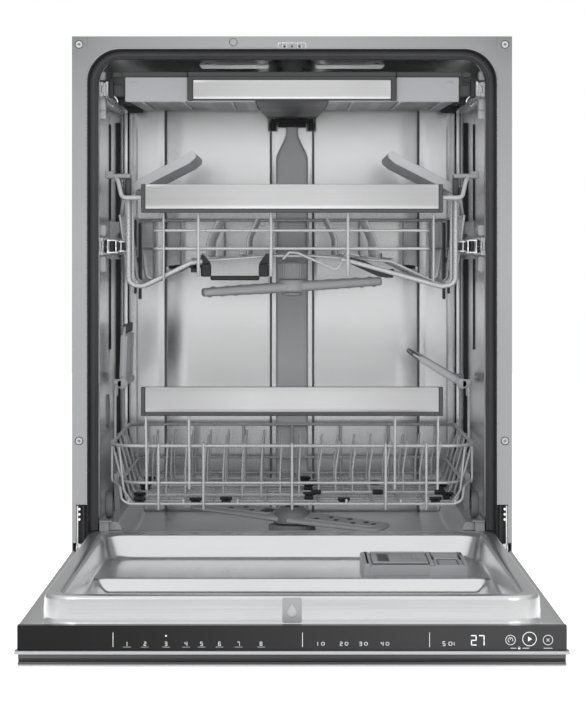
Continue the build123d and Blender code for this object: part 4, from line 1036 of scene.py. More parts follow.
def handle_frame(name, body, half, z0, z1, node, legs, rim_y, rim_z):
    """Dark moulded channel behind the plate, with end caps, screw bosses and wire stays to the rack's rim."""
    mb = MB()
    rbox(mb, -half - 6, half + 6, 20.2, 31, z0 - 5.5, z0 - 0.2, 1.2)
    for s in (-1, 1):
        a, b = sorted((s * (half + 0.25), s * (half + 6)))
        rbox(mb, a, b, 19.9, 31, z0 - 5.5, z1 + 0.3, 1.2)
    rbox(mb, -half - 6, half + 6, 21.5, 31, z1 - 6, z1 + 0.3, 1.0)
    rbox(mb, -half - 2, half + 2, 21.4, 24.0, z0 - 2, z1 - 3, 0.8)
    for x in range(int(-half) + 30, int(half), 55):
        rbox(mb, x - 1, x + 1, 23.6, 30.4, z0 - 1, z1 - 5, 0.5)
    mb.obj(name, body, "dark_plastic", "dark", [node], sharp=40)
    if not legs:
        return
    w = MB()
    for x in legs:
        w.tube(bend([(x, 27, z0 + 6), (x, 29, z0 - 10), (x, rim_y, rim_z + 12), (x, rim_y, rim_z - 6)], 10, 5), 1.9, 10)
    w.obj(name + "_stays", body, "rack_wire", "rack")


def clip(mb, x, y, z, w=13.0, d=18.0, h=9.0):
    """Snap-on wire clip: saddle, two cheeks and a bridge."""
    rbox(mb, x - w / 2, x + w / 2, y - d / 2, y + d / 2, z - h * 0.5, z + h * 0.1, 1.2)
    for s in (-1, 1):
        rbox(mb, x + s * w * 0.34 - 1.6, x + s * w * 0.34 + 1.6, y - d * 0.38, y + d * 0.38, z, z + h * 0.62, 0.9)
    mb.tube([(x - w * 0.52, y, z + h * 0.34), (x + w * 0.52, y, z + h * 0.34)], 2.5, 12)


def mirror_x(pts):
    return [(-p[0], p[1], p[2]) for p in reversed(pts)]


# ================================================================ lower rack
def lean(z):
    return 228 + 24 * (z - 207) / 82.0


def lower_rack():
    mb = MB()
    for z, r in ((289.0, 2.4), (238.0, 2.0)):
        h = lean(z)
        half = [(0, 470, z), (-h + 22, 470, z), (-h, 448, z), (-h, 42, z), (0, 42, z)]
        path = bend(half + mirror_x(half)[1:], [16, 16, 42, 0, 42, 16, 16], 8)
        mb.tube(path, r, 12)
    # lower front wire, drawn up into the corners
    half = [(-250, 86, 238), (-238, 58, 231), (-235, 45, 214), (-224, 42, 209), (0, 42, 209)]
    mb.tube(bend(half + mirror_x(half)[1:], [12, 10, 12, 0, 12, 10, 12], 5), 2.0, 12)
    for x in (-184, -122, 0, 129, 185):
        mb.tube(bend([(x, 46.0, 284), (x, 46.0, 292.6), (x, 38.8, 292.6), (x, 38.8, 215), (x, 40.0, 202.2)], [3.2, 3.2, 20], 6), 1.9, 12)
    for s in (-1, 1):
        mb.tube(bend([(s * 251.2, 85, 290), (s * 251.2, 85, 240), (s * 250, 84, 236)], 4, 3), 1.8, 10)
        mb.tube(bend([(s * 239.4, 54.6, 290), (s * 233, 57, 226), (s * 221, 62, 208)], 12, 4), 1.7, 10)
    # cross hoops: up one side, under the floor and up the other
    for y in (92, 163, 234, 306, 377, 448):
        mb.tube(bend([(-252.4, y, 291.4), (-229.5, y, 204.2), (229.5, y, 204.2), (252.4, y, 291.4)], 13, 6), 1.8, 10)
    for y in (128, 199, 270, 342, 412):
        mb.tube([(-226, y, 204.4), (226, y, 204.4)], 1.5, 8)
    for x in (-225, -150, -75, 0, 75, 150, 225):
        mb.tube(bend([(x, 43.6, 214), (x, 43.6, 207.6), (x, 470, 207.6), (x, 470, 240), (x, 470, 290.6)], [6, 8, 0], 5), 1.9, 10)
    for x in (-187, -112, -37, 37, 112, 187):
        mb.tube(bend([(x, 45.4, 209), (x, 52, 207.2), (x, 466, 207.2), (x, 471.6, 216)], 5, 4), 1.4, 8)
    mb.tube([(-227, 470, 214), (227, 470, 214)], 1.9, 10)
    # hoops that carry the stem supports
    for s in (-1, 1):
        mb.tube(bend([(s * 252, 160, 287), (s * 252, 160, 368), (s * 252, 340, 368), (s * 252, 340, 287)], 14, 6), 2.0, 12)
    # fixed plate prongs: upright, then leaning back, with a hooked foot
    for y in (150, 290, 400):
        mb.tube(bend([(-214, y - 3, 208), (-214, y - 3, 211), (18, y - 3, 211), (18, y - 3, 208)], 2.5, 4), 1.5, 8)
        for k in range(9):
            x = -206 + 27 * k
            mb.tube(bend([(x, y - 5, 208.6), (x, y, 209.4), (x, y, 240), (x + 2, y + 4, 284)], [3, 40], 5), 1.7, 8)
    mb.obj("lower_basket", "lower_rack", "rack_wire", "rack", ["lower_rack_floor", "lower_rack_walls"], sharp=60)
    c = MB()
    for x, y in ((-212, 72), (-134, 72), (-92, 84), (72, 72), (200, 80), (24, 150), (221, 150), (24, 290), (221, 290), (-216, 147), (-216, 287), (-216, 397), (20, 397)):
        clip(c, x, y, 209.5)
    c.obj("lower_basket_clips", "lower_rack", "black_plastic", "black", sharp=40)
    brushed_plate("lower_grip_plate", "lower_rack", 201, 337, 371, "lower_handle_plate")
    handle_frame("lower_grip_channel", "lower_rack", 201, 337, 371, "lower_handle_frame", (-200.5, -141.5, 141.5, 200.5), 42, 236)
    # folding prong rows
    for y, body, node in ((150.0, "fold_front", "fold_tines_front"), (290.0, "fold_rear", "fold_tines_rear")):
        f = MB()
        f.tube([(30, y, 215), (214, y, 215)], 2.2, 12)
        for k in range(8):
            x = 38 + 24 * k
            f.tube(bend([(x, y, 215), (x, y, 247), (x + 6, y, 286)], 34, 6), 1.7, 10)
        f.obj(body + "_prongs", body, "rack_wire", "rack", [node], sharp=60)
        e = MB()
        for x in (34, 122, 210):
            e.tube([(x - 5, y, 215), (x + 5, y, 215)], 3.6, 14)
        e.obj(body + "_sleeves", body, "black_plastic", "black", sharp=50)
    # wheels
    for y, body, node in ((110.0, "wheels_front", "front_wheels"), (400.0, "wheels_rear", "rear_wheels")):
        w, hub = MB(), MB()
        for s in (-1, 1):
            o = (s * 249.6, y, 202.5)
            w.lathe(o, (s, 0, 0), [(12.5, 1.2), (17.2, 1.0), (18.6, 1.8), (19, 3.2), (19, 9.6), (18.4, 11.2), (17.0, 12.0), (14.2, 12.0), (13.4, 11.0), (13.0, 8.6), (12.4, 8.4), (12.4, 1.4)], 48)
            hub.lathe(o, (s, 0, 0), [(5.2, 0), (6.4, 0.4), (6.6, 3.6), (12.6, 4.0), (12.6, 6.8), (6.6, 7.2), (6.4, 11.8), (5.4, 12.2), (5.2, 12.2)], 40)
            for k in range(6):
                a = 2 * math.pi * k / 6
                d = Vector((0, math.cos(a), math.sin(a)))
                p = Vector(o) + Vector((s * 7.2, 0, 0))
                hub.tube([p + d * 6.0, p + d * 12.8], 1.5, 8)
        w.obj(body + "_tyres", body, "dark_plastic", "wheel", [node], sharp=40)
        hub.obj(body + "_hubs", body, "dark_plastic", "doser", sharp=40)
    # wheel carriers
    a = MB()
    for s in (-1, 1):
        for y in (110, 400):
            out = [(y - 26, 247), (y + 26, 247), (y + 25, 238), (y + 17, 224), (y + 11, 200), (y + 6, 193.5), (y - 6, 193.5), (y - 11, 200), (y - 17, 224), (y - 25, 238)]
            for x0, x1, k in ((241.2, 243.0, 1.0), (243.0, 248.4, 0.999)):
                ctr = Vector((0, y, 222))
                pts = [Vector((s * x0, p[0], p[1])) for p in out]
                if x0 > 242:
                    rim = [Vector((s * x0, ctr.y + (p.y - ctr.y) * 0.84, ctr.z + (p.z - ctr.z) * 0.86)) for p in pts]
                    a.rings([pts, [p + Vector((s * 5.4, 0, 0)) for p in pts], [p + Vector((s * 5.4, 0, 0)) for p in rim], rim], True, False, False)
                else:
                    a.prism(pts, (s * (x1 - x0), 0, 0))
            for dy in (-16, 0, 16):
                a.tube([(s * 245, y + dy * 0.4, 206), (s * 245, y + dy, 244)], 1.5, 8)
            a.lathe((s * 243, y, 202.5), (s, 0, 0), [(7.5, 0), (7.5, 5.6), (6.0, 6.2), (4.9, 6.4), (4.9, 18.6), (5.6, 19.0), (5.2, 19.6), (0.01, 19.6)], 24)
            for dy in (-19, 19):
                a.tube(bend([(s * 243.5, y + dy, 244), (s * 247, y + dy, 250.5), (s * 239, y + dy, 241)], 3, 4), 2.0, 8)
    a.obj("wheel_brackets", "lower_rack", "dark_plastic", "doser", ["wheel_carriers"], sharp=40)


def stem_support(name, body, node, side, tilt):
    """Ribbed flap with a scalloped comb edge, on a bar hinge."""
    mb, comb = MB(), MB()
    L, y0, y1 = 84.0, 175.0, 325.0
    outline = [(4, y0 + 2), (L - 10, y0 + 2), (L - 3, y0 + 7)]
    n = 5
    pitch = (y1 - y0 - 20) / n
    for k in range(n):
        c = y0 + 10 + pitch * (k + 0.5)
        for j in range(9):
            a = math.pi * j / 8
            outline.append((L - 1 - 15 * math.sin(a), c - 9.5 * math.cos(a)))
    outline += [(L - 3, y1 - 7), (L - 10, y1 - 2), (4, y1 - 2)]
    flat = lambda z: [Vector((u, v, z)) for u, v in outline]
    mb.rings([flat(-1.6), flat(1.6)])
    for v in (y0 + 3.6, y0 + 40, y0 + 75, y0 + 110, y1 - 3.6):
        e = 5.0 if v in (y0 + 3.6, y1 - 3.6) else 3.4
        rbox(mb, 4, L - 16, v - 1.5, v + 1.5, -e, e, 1.0)
    rbox(mb, 3, 8, y0 + 2, y1 - 2, -3.5, 3.5, 1.5)
    for a, b in ((y0 - 1, y0 + 22), (y1 - 22, y1 + 1)):
        mb.lathe((0, a, 0), (0, 1, 0), [(2.6, 0), (6.6, 0), (7.2, 0.8), (7.2, b - a - 0.8), (6.6, b - a), (2.6, b - a)], 24)
        rbox(mb, 1, 10, a + 1, b - 1, -4.5, 4.5, 1.6)
    for k in range(n + 1):
        c = y0 + 10 + pitch * k
        for d in (-2.2, 0, 2.2):
            rbox(comb, L - 13, L - 0.5, c + d - 0.7, c + d + 0.7, -3.0, 3.0, 0.5)
    t = math.radians(tilt)
    u = Vector((-side * math.cos(t), 0, math.sin(t)))
    v = Vector((0, 1, 0))
    w = u.cross(v)
    m = Matrix(((u.x, v.x, w.x, side * 242.8), (u.y, v.y, w.y, 0), (u.z, v.z, w.z, 368.0), (0, 0, 0, 1)))
    mb.moved(m)
    comb.moved(m)
    mb.obj(name, body, "grey_plastic", "light", [node], sharp=40)
    comb.obj(name + "_comb", body, "dark_plastic", "dark", sharp=40)
    c = MB()
    for y in (y0 - 6, y1 + 6):
        c.lathe((side * 242.8, y - 3, 368), (0, 1, 0), [(6.4, 0), (7.4, 0.8), (7.4, 5.2), (6.4, 6.0)], 24)
        rbox(c, min(side * 242, side * 256.5), max(side * 242, side * 256.5), y - 3, y + 3, 361.5, 374.5, 2.4)
        rbox(c, min(side * 248.5, side * 256), max(side * 248.5, side * 256), y - 3, y + 3, 350, 364, 2.0)
    c.obj(name + "_clips", "lower_rack", "grey_plastic", "light", sharp=40)


lower_rack()
stem_support("stem_flap_left", "stem_left", "stem_support_left", -1, 88)
stem_support("stem_flap_right", "stem_right", "stem_support_right", 1, 31)


# ================================================================ upper rack
def up_floor(x):
    """Level of the upper rack's floor: low at the sides, climbing to a ridge at the middle."""
    a = abs(x)
    if a > 138:
        return 543.0 - (a - 138) * 33.0 / 70.0
    return 552.5 - (a / 138.0) * 9.5


def upper_rack():
    mb = MB()
    # rim at the sides and back, dropping to the handle's ends
    half = [(0, 470, 605), (-218, 470, 605), (-238, 450, 605), (-238, 84, 605), (-236, 62, 612), (-232, 44, 629), (-206, 30, 631)]
    mb.tube(bend(half, [16, 16, 30, 20, 12], 6), 2.4, 12)
    mb.tube(bend(mirror_x(half), [12, 20, 30, 16, 16], 6), 2.4, 12)
    half = [(0, 470, 561), (-212, 470, 561), (-231, 452, 561), (-231, 74, 561), (-226, 54, 561)]
    mb.tube(bend(half, [16, 16, 24], 6), 1.9, 10)
    mb.tube(bend(mirror_x(half), [24, 16, 16], 6), 1.9, 10)
    # two front wires
    for z in (586.0, 561.0):
        half = [(-190, 56, z), (-188, 44, z), (-182, 41.6, z), (0, 41.6, z)]
        mb.tube(bend(half + mirror_x(half)[1:], [4, 6, 0, 6, 4], 4), 2.0, 12)
    # uprights of the front, hooked under the handle and turned into the floor
    for x in (-129, -29, 77):
        mb.tube(bend([(x, 30, 616), (x, 39.0, 604), (x, 39.0, 536), (x, 44, 524)], [10, 10], 5), 2.2, 12)
    for x in (-177, 195):
        mb.tube(bend([(x, 30, 616), (x, 38.8, 606), (x, 38.8, 532), (x, 46, 516)], [10, 10], 5), 1.6, 10)
    # cross hoops
    for y in (60, 125, 190, 255, 320, 385, 455):
        pts = [(-238.5, y, 606.6), (-226, y, 514), (-208, y, 510), (-138, y, 543), (-24, y, 551)]
        mb.tube(bend(pts + mirror_x(pts), [11, 12, 24, 20, 20, 24, 12, 11], 5), 1.8, 10)
    # doubled front hoop, thicker and standing straight
    for x, y, r in ((-226, 50, 3.3), (-220.5, 56, 2.1)):
        for s in (1, -1):
            pts = [(s * x, y, 630), (s * x, y, 512), (s * (x + 20), y, 508.6), (s * -140, y, 541), (s * -126, y, 543)]
            if s < 0:
                pts = [(s * x, y, 630), (s * x, y, 512), (s * (x + 20), y, 508.6), (82, y, 543), (70, y, 546)]
            mb.tube(bend(pts, [12, 16, 14], 6), r, 12)
    for x in (-214, -172, -138, -104, -70, -24, 24, 70, 104, 138, 172, 214):
        z = up_floor(x) + 3.4
        mb.tube(bend([(x, 46, z + 4), (x, 52, z), (x, 464, z), (x, 470, z + 8), (x, 470, 606)] if abs(x) in (24, 104, 172, 214) else [(x, 48, z + 3), (x, 54, z), (x, 462, z), (x, 469, z + 6)], 6, 4), 1.6, 8)
    for s in (-1, 1):
        for y in (92, 158, 222, 288, 352, 420):
            mb.tube([(s * 238, y, 606), (s * 228.6, y, 530)], 1.5, 8)
    # leaning prongs in four rows
    for x in (-118, -62, 62, 118):
        s = -1 if x > 0 else 1
        mb.tube([(x, 86, up_floor(x) + 5.4), (x, 420, up_floor(x) + 5.4)], 1.5, 8)
        for k in range(8):
            y = 92 + 46 * k
            z = up_floor(x) + 5
            mb.tube(bend([(x, y, z), (x, y, z + 22), (x + s * 13, y, z + 50)], 20, 5), 1.7, 8)
    # zigzag cup wire at the front right
    mb.tube(bend([(-12, 58, 547), (-4, 57, 556), (8, 56, 555), (62, 55, 531), (76, 55, 555), (92, 57, 551)], [4, 4, 5, 5], 4), 1.9, 10)
    mb.obj("upper_basket", "upper_rack", "rack_wire", "rack", ["upper_rack_floor", "upper_rack_walls"], sharp=60)
    # dark prong bases and clips
    d = MB()
    rbox(d, -126, -112, 46, 66, 522, 540, 2.5)
    rbox(d, -46, -32, 46, 66, 522, 540, 2.5)
    d.prism([(-126, 50, 540), (-112, 50, 540), (-122, 50, 552), (-126, 50, 552)], (0, 12, 0))
    d.prism([(-32, 50, 540), (-32, 50, 554), (-36, 50, 554), (-46, 50, 540)], (0, 12, 0))
    rbox(d, -113, -45, 52, 62, 517, 523.5, 2.2)
    pts = [(80, 49, 549), (98, 49, 545), (134, 49, 528), (134, 49, 521), (120, 49, 522), (82, 49, 539)]
    d.prism(pts, (0, 14, 0))
    clip(d, 134, 60, 526, 12, 20, 11)
    clip(d, -134, 60, 533, 12, 20, 10)
    for x in (-172, 172):
        clip(d, x, 252, up_floor(x) + 4, 12, 20, 9)
        clip(d, x, 388, up_floor(x) + 4, 12, 20, 9)
    d.obj("upper_basket_clips", "upper_rack", "black_plastic", "black", bevel=0.5, sharp=40)
    brushed_plate("upper_grip_plate", "upper_rack", 201, 615.5, 649, "upper_handle_plate")
    handle_frame("upper_grip_channel", "upper_rack", 201, 615.5, 649, "upper_handle_frame", (), 41.5, 563)
    # stays from the handle's ends up to the cup-shelf hooks
    w, hk, hl_ = MB(), MB(), MB()
    for s in (-1, 1):
        w.tube(bend([(s * 206.5, 27, 631), (s * 234, 34, 631), (s * 240, 46, 655), (s * 246, 58, 661)], [8, 8], 5), 3.0, 12)
        rbox(hl_, min(s * 223, s * 259), max(s * 223, s * 259), 50, 78, 658, 664.5, 2.4)
        rbox(hl_, min(s * 246, s * 259), max(s * 246, s * 259), 50, 78, 663, 668, 2.0)
        rbox(hk, min(s * 223, s * 231), max(s * 223, s * 231), 56, 74, 634, 659, 2.4)
        rbox(hk, min(s * 231, s * 237), max(s * 231, s * 237), 54, 62, 634, 646, 1.4)
        # bars of the height setting, either side
        rbox(hk, min(s * 222.6, s * 227.4), max(s * 222.6, s * 227.4), 296, 304, 486, 600, 2.2)
        rbox(hk, min(s * 230, s * 234), max(s * 230, s * 234), 296, 304, 494, 604, 1.9)
        rbox(hk, min(s * 222.6, s * 234), max(s * 222.6, s * 234), 296.6, 303.4, 540, 548, 1.9)
    w.obj("shelf_stays", "upper_rack", "grey_plastic", "arm", sharp=60)
    hk.obj("shelf_hooks", "upper_rack", "dark_plastic", "dark", sharp=40)
    hl_.obj("shelf_hook_plates", "upper_rack", "grey_plastic", "insert", sharp=40)


def cup_shelf(name, body, node, side):
    """Cup shelf: moulded floor with a deep front lip, ribs, slots between them and a rolled tip."""
    mb, low = MB(), MB()
    L, y0, y1 = 104.0, 80.0, 330.0
    # side section in (u, w), swept along v: floor, rolled tip
    sec = [(3, -2.2), (L - 5, -2.2), (L - 1.4, -0.8), (L, 2.2), (L - 0.4, 6.6), (L - 2.4, 8.6), (L - 4.6, 7.4), (L - 5.4, 3.4), (L - 8, 1.8), (3, 1.8)]
    mb.rings([[Vector((u, v, w)) for u, w in sec] for v in (y0 + 1, y0 + 3, 200, y1 - 3, y1 - 1)])
    # front lip and rear lip: tapered beams with rounded edges
    for v, d in ((y0, 4.6), (y1 - 4.6, 4.6)):
        beam = [(0.0, -5.2), (L - 14, -5.2), (L - 3, -2.4), (L + 0.5, 2.0), (L, 7.2), (L - 4, 9.2), (L - 20, 8.2), (0.0, 7.2)]
        inset = lambda k, vv: [Vector((52 + (u - 52) * k, vv, 1.5 + (w - 1.5) * (1 - (1 - k) * 6))) for u, w in beam]
        mb.rings([inset(0.985, v), inset(1.0, v + 0.7), inset(1.0, v + d - 0.7), inset(0.985, v + d)])
    for k in range(7):
        v = y0 + 14 + (y1 - y0 - 28) * k / 6
        rbox(low, 8, L - 12, v - 2.0, v + 2.0, -5.0, -2.0, 1.0)
    rbox(low, 10, 14, y0 + 6, y1 - 6, -5.0, -2.0, 1.0)
    rbox(low, 52, 56, y0 + 6, y1 - 6, -4.6, -2.0, 1.0)
    for a, b in ((y0 - 2, y0 + 20), (y1 - 20, y1 + 2)):
        mb.lathe((0, a, 0), (0, 1, 0), [(2.6, 0), (5.8, 0), (6.4, 0.8), (6.4, b - a - 0.8), (5.8, b - a), (2.6, b - a)], 22)
    t = math.radians(27)
    u = Vector((-side * math.cos(t), 0, math.sin(t)))
    v = Vector((0, 1, 0))
    w = Vector((side * math.sin(t), 0, math.cos(t)))
    m = Matrix(((u.x, v.x, w.x, side * 226.0), (u.y, v.y, w.y, 0), (u.z, v.z, w.z, 643.0), (0, 0, 0, 1)))
    mb.moved(m)
    low.moved(m)
    mb.obj(name, body, "grey_plastic", "light", [node], sharp=40)
    low.obj(name + "_ribs", body, "grey_plastic", "grey", sharp=40)


def telescopic():
    """Front fittings of the upper rack's rails."""
    c, k, g = MB(), MB(), MB()
    for s in (-1, 1):
        X = lambda a, b: (min(s * a, s * b), max(s * a, s * b))
        # bent bright spring clip over the rail's nose
        for z in (555.5, 572.5):
            c.tube(bend([(s * 240, 47, z), (s * 246, 42, z), (s * 257, 42, z), (s * 259.5, 50, z)], [4, 4], 4), 1.5, 10)
        c.tube(bend([(s * 243, 45, 555), (s * 243, 43, 564), (s * 243, 45, 573)], 8, 4), 1.4, 10)
        for z in (557.5, 570.5):
            c.tube(bend([(s * 229, 50, z), (s * 232, 42.5, z), (s * 239, 42.5, z), (s * 241, 50, z)], [3, 3], 4), 1.3, 10)
        c.tube([(s * 236, 42.5, 557), (s * 236, 42.5, 571)], 1.3, 10)
        x0, x1 = X(230.5, 246)
        rbox(k, x0, x1, 46, 62, 556, 572, 1.6)
        x0, x1 = X(252.6, 255.8)
        rbox(c, x0, x1, 41.5, 52, 554, 574, 1.2)
        x0, x1 = X(246, 251.2)
        rbox(k, x0, x1, 41, 53, 557, 571, 2.0)
        k.lathe((s * 256.6, 46.5, 564), (s, 0, 0), [(2.0, 0), (7.4, 0), (8.0, 0.6), (8.0, 2.4), (7.4, 3.0), (2.0, 3.0)], 24)
        c.lathe((s * 256.2, 46.5, 564), (s, 0, 0), [(3.0, 0), (3.0, 4.2), (2.2, 4.6), (0.01, 4.6)], 16)
        # moulded brackets on the tub wall above and below the rail
        x0, x1 = X(256.8, 266.4)
        rbox(g, x0, x1, 52, 78, 577.5, 594, 3.0)
        rbox(g, x0, x1, 52, 78, 528, 551, 3.0)
        for z in (586, 538):
            g.lathe((s * 257.2, 65, z), (-s, 0, 0), [(4.2, 0), (4.2, 1.2), (3.2, 1.8), (0.01, 1.8)], 16)
        x0, x1 = X(261.5, 266.4)
        rbox(g, x0, x1, 440, 478, 546, 584, 3.0)
    c.obj("rail_nose_clips", "upper_rack", "bright_chrome", "chrome", sharp=40)
    k.obj("rail_nose_rollers", "upper_rack", "black_plastic", "black", sharp=40)
    g.obj("rail_wall_brackets", "cabinet", "grey_plastic", "grey", sharp=40)


upper_rack()
cup_shelf("cup_flap_left", "cup_left", "cup_shelf_left", -1)
cup_shelf("cup_flap_right", "cup_right", "cup_shelf_right", 1)
telescopic()


# ================================================================ water side
def duct():
    """Flat bottle-shaped duct up the back wall, with its collar and the pipe along the ceiling."""
    mb = MB()
    rings = []
    zs = [141.5, 143, 150, 300, 500, 660, 690] + [700 + 3.0 * k for k in range(15)] + [748, 756, 767]
    for z in zs:
        h = 25 - 16 * step(698, 743, z)
        e = 1.0 if z in (141.5, 767) else 0.0
        rings.append(round_rect(-h + e, h - e, 480.2 + e, 499.4, 6.0 if h > 12 else 4.5, z, 5))
    mb.rings(rings)
    rings = [round_rect(-9, 9, 482.2, 499.4, 4, z, 5) for z in (768.4, 770, 800, 805.6)]
    mb.rings(rings)
    prof = [Vector((9 * math.cos(a), 0, 811 + 5 * math.sin(a))) for a in [2 * math.pi * k / 20 for k in range(20)]]
    mb.rings([[p + Vector((0, y, 0)) for p in prof] for y in (291.4, 294, 494, 499.2)])
    mb.lathe((0, 265, 803), (0, 0, 1), [(20, 0), (24.5, 0.6), (26, 2.2), (26, 8), (24, 12), (16, 20), (15, 22.6), (0.01, 22.6)], 40)
    mb.obj("riser_duct", "cabinet", "grey_plastic", "duct", ["water_duct"], sharp=40)
    p = MB()
    p.lathe((0, 265, 141.2), (0, 0, 1), [(17, 0), (17, 2), (14.2, 4), (14, 16.0), (10.2, 16.6), (9.9, 41), (9.0, 42.8), (0.01, 42.8)], 36)
    p.obj("arm_post", "cabinet", "grey_plastic", "dark", sharp=40)
    s = MB()
    # docking collar under the ceiling pipe, black with fins
    rbox(s, -33, 33, 472, 498.6, 757, 762.5, 1.5)
    rbox(s, -22, 22, 474, 498.6, 749.5, 757.5, 2.0)
    for k in range(13):
        x = -30 + 5 * k
        rbox(s, x - 0.9, x + 0.9, 470.6, 474, 753.5, 766, 0.5)
    for a in (-1, 1):
        rbox(s, min(a * 26, a * 34), max(a * 26, a * 34), 474, 498, 744, 758, 1.6)
    s.obj("duct_collar", "cabinet", "black_plastic", "black", sharp=40)
    n = MB()
    for k in range(10):
        a = 2 * math.pi * k / 10
        n.lathe((17 * math.cos(a), 265 + 17 * math.sin(a), 802.6), (0, 0, 1), [(1.4, -0.6), (2.2, -0.4), (2.4, 0.6), (0.01, 0.6)], 12)
    n.obj("top_spray_jets", "cabinet", "dark_plastic", "dark")


def arm_blade(mb, r0, r1, w0, w1, zc, t, pitch, turn, n=16, bow=0.0, tip=14.0, roll=0.0):
    """Hollow-looking spray blade: rounded section that tapers to a round tip."""
    rings = []
    sta = [r0 + (r1 - tip - r0) * k / n for k in range(n + 1)] + [r1 - tip + tip * math.sin(math.pi / 2 * k / 6) for k in range(1, 7)]
    for r in sta:
        f = (r - r0) / (r1 - r0)
        w = w0 + (w1 - w0) * f
        th = t * (1 - 0.22 * f)
        if r > r1 - tip:
            q = math.sqrt(max(0.0, 1 - ((r - r1 + tip) / tip) ** 2))
            w, th = max(0.4, w * (0.35 + 0.65 * q) if q > 0 else 0.4), max(0.3, th * (0.25 + 0.75 * q))
        ring = []
        for k in range(20):
            a = 2 * math.pi * k / 20
            c, s_ = math.cos(a), math.sin(a)
            ring.append(Vector((r, w * math.copysign(abs(c) ** 0.55, c) + bow * f * f, th / 2 * math.copysign(abs(s_) ** 0.7, s_))))
        rings.append(ring)
    o = MB()
    o.rings(rings)
    m = Matrix.Translation((0, 265, zc)) @ Matrix.Rotation(math.radians(turn), 4, "Z") @ Matrix.Rotation(math.radians(pitch), 4, "Y") @ Matrix.Rotation(math.radians(roll), 4, "X")
    o.moved(m)
    mb.merge(o)
    return m


